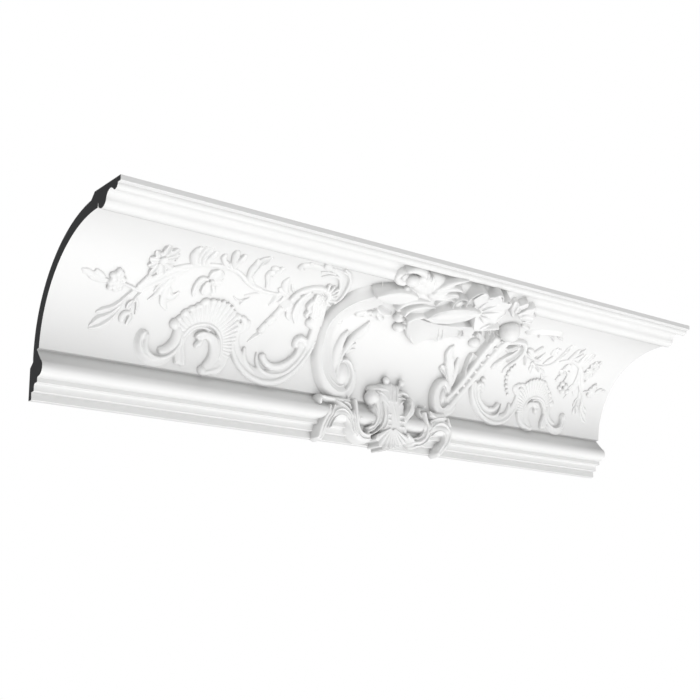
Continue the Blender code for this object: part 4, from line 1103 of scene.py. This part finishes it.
def makeSection(materials):
    outline = sectionOutline()
    bm = bmesh.new()
    ring = bmesh.ops.create_circle(bm, cap_ends=True, segments=len(outline), radius=1.0)["verts"]
    ring.sort(key=lambda vert: math.atan2(vert.co.y, vert.co.x) % (2 * math.pi))
    for vert, (out, down) in zip(ring, outline):
        vert.co = inSection(0.0, out, down)
    made = bmesh.ops.extrude_face_region(bm, geom=bm.faces[:])
    moved = [g for g in made["geom"] if isinstance(g, bmesh.types.BMVert)]
    bmesh.ops.translate(bm, vec=(section["length"] * mm, 0, 0), verts=moved)
    bmesh.ops.recalc_face_normals(bm, faces=bm.faces[:])
    for face in bm.faces:
        face.material_index = 1 if abs(face.normal.x) > 0.9 else 0  # the two cut ends
    piece = makePiece("corniceSection", bm)
    for material in materials:
        piece.data.materials.append(material)
    piece.data.shade_smooth()
    piece.data.set_sharp_from_angle(angle=math.radians(section["crease"]))
    print("section faces", len(piece.data.polygons))
    return piece


group = moulderFinishGroup()
white = makeFinish("primedWhite", group, primer)
cutEnd = makeFinish("cutEnd", group, cutFoam)
print("materials made")

body = makeSection([white, cutEnd])

# each group of ornament is one casting, sunk into the section behind it
leftBranch, leftScrolls = startGround(), startGround()
addBranch(leftBranch)
addRibbonAndHusk(leftScrolls)
addShellAndScrolls(leftScrolls)

# the right side is the left one mirrored and smaller
rightSide = {"branch": {"start": 0, "at": (968.4, 38), "scale": (0.68, 0.82),
                        "lean": 0.082, "relief": 0.85},
             "scrolls": {"start": 130, "at": (860, 37), "scale": (0.83, 0.829),
                         "lean": 0, "relief": 0.9}}


def mirrorGround(start, at, scale, lean, relief):
    def shift(u, v):
        return at[0] - scale[0] * (u - start) - lean * v, at[1] + scale[1] * v

    return startGround(shift=shift, relief=relief)


rightBranch = mirrorGround(**rightSide["branch"])
rightScrolls = mirrorGround(**rightSide["scrolls"])
rightSprays = startGround()
addBranch(rightBranch)
addShellAndScrolls(rightScrolls)
addRightSprays(rightSprays)

middleScrolls = startGround()
addHighC(middleScrolls)
addStraps(middleScrolls)
addDroopingFlowers(middleScrolls)

# the shell foot leans back towards the wall at its lower end
footLean = {"down": [(178, -3.0), (200, 0.0), (230, 5.0), (256, 11.0)], "slide": 0.85}


def onFoot(u, v, h):
    lean = between(footLean["down"], v)
    return onCove(u + footLean["slide"] * lean, v, h - lean)


shellFoot = startGround(onFoot, lambda v: coveRoot(v) + between(footLean["down"], v))
addBrackets(shellFoot)
addShellFoot(shellFoot)

crest, crestFoot = startGround(onCrest, crestRoot), startGround()
addCrest(crest)
addCrestFoot(crestFoot)

ornament = [castRelief(name, grounds, white) for name, grounds in (
    ("leftBranchRelief", [leftBranch]), ("leftScrollRelief", [leftScrolls]),
    ("rightBranchRelief", [rightBranch, rightSprays]), ("rightScrollRelief", [rightScrolls]),
    ("middleScrollRelief", [middleScrolls]), ("shellFootRelief", [shellFoot]),
    ("crestRelief", [crest, crestFoot]))]

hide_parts("cornice")
for piece in [body] + ornament:
    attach(piece, "root")

# floor, light and camera
studio = {"floorDown": 2.6, "floorSize": 8.0, "floorColour": (0.85, 0.85, 0.85, 1),
          "floorRoughness": 0.8, "floorGlow": 0.35, "ambient": 0.2, "backdrop": 1.0,
          "lightAway": 2.35, "lightSize": 2.2, "lightFrom": (0.0, -0.1, 0.08),
          "lights": {"leftLight": ((-0.60, -0.75, -0.30), 9.0),
                     "middleLight": ((0.00, -0.70, -0.72), 15.0),
                     "rightLight": ((0.75, -0.45, -0.45), 9.0),
                     "frontLight": ((0.10, -0.95, -0.20), 14.0),
                     "lowLight": ((0.05, -0.20, -1.00), 19.0),
                     "backLight": ((0.20, 0.80, 0.60), 32.0)},
          "lens": 62.53, "cameraAt": (-1.0203, -1.2702, -0.3131), "pitch": 12.52, "yaw": 37.03,
          "shift": (0.0429, 0.0684)}


def makeFloor():
    bm = bmesh.new()
    bmesh.ops.create_grid(bm, x_segments=1, y_segments=1, size=studio["floorSize"])
    bmesh.ops.translate(bm, vec=(0, 0, -studio["floorDown"]), verts=bm.verts[:])
    floor = makePiece("floor", bm)
    pale = bpy.data.materials.new("paleFloor")
    pale.use_nodes = True
    shader = pale.node_tree.nodes["Principled BSDF"]
    for name, value in (("Base Color", studio["floorColour"]),
                        ("Roughness", studio["floorRoughness"]),
                        ("Emission Color", (1, 1, 1, 1)),
                        ("Emission Strength", studio["floorGlow"])):
        shader.inputs[name].default_value = value
    floor.data.materials.append(pale)


def makeLight():
    # white behind the object, softer all round it, broad lights in front and below, one behind
    world = bpy.data.worlds.new("studio")
    world.use_nodes = True
    nodes, links = world.node_tree.nodes, world.node_tree.links
    path = nodes.new("ShaderNodeLightPath")
    seen = addNode(nodes, "ShaderNodeMix", {"A": studio["ambient"], "B": studio["backdrop"]})
    links.new(path.outputs["Is Camera Ray"], seen.inputs["Factor"])
    links.new(seen.outputs["Result"], nodes["Background"].inputs["Strength"])
    nodes["Background"].inputs["Color"].default_value = (1, 1, 1, 1)
    bpy.context.scene.world = world
    bpy.context.scene.view_settings.view_transform = "Standard"  # keeps the white white
    for name, (side, power) in studio["lights"].items():
        lamp = bpy.data.lights.new(name, "AREA")
        lamp.shape = "DISK"
        lamp.size = studio["lightSize"]
        lamp.energy = power
        light = bpy.data.objects.new(name, lamp)
        away = Vector(side).normalized()
        light.location = Vector(studio["lightFrom"]) + away * studio["lightAway"]
        light.rotation_euler = away.to_track_quat("Z", "Y").to_euler()
        light.visible_camera = False
        bpy.context.scene.collection.objects.link(light)


def makeCamera():
    lens = bpy.data.cameras.new("camera")
    lens.lens = studio["lens"]
    lens.shift_x, lens.shift_y = studio["shift"]
    camera = bpy.data.objects.new("camera", lens)
    camera.location = studio["cameraAt"]
    camera.rotation_euler = (math.radians(90 + studio["pitch"]), 0, -math.radians(studio["yaw"]))
    bpy.context.scene.collection.objects.link(camera)
    bpy.context.scene.camera = camera


makeFloor()
makeLight()
makeCamera()
print("stage made")
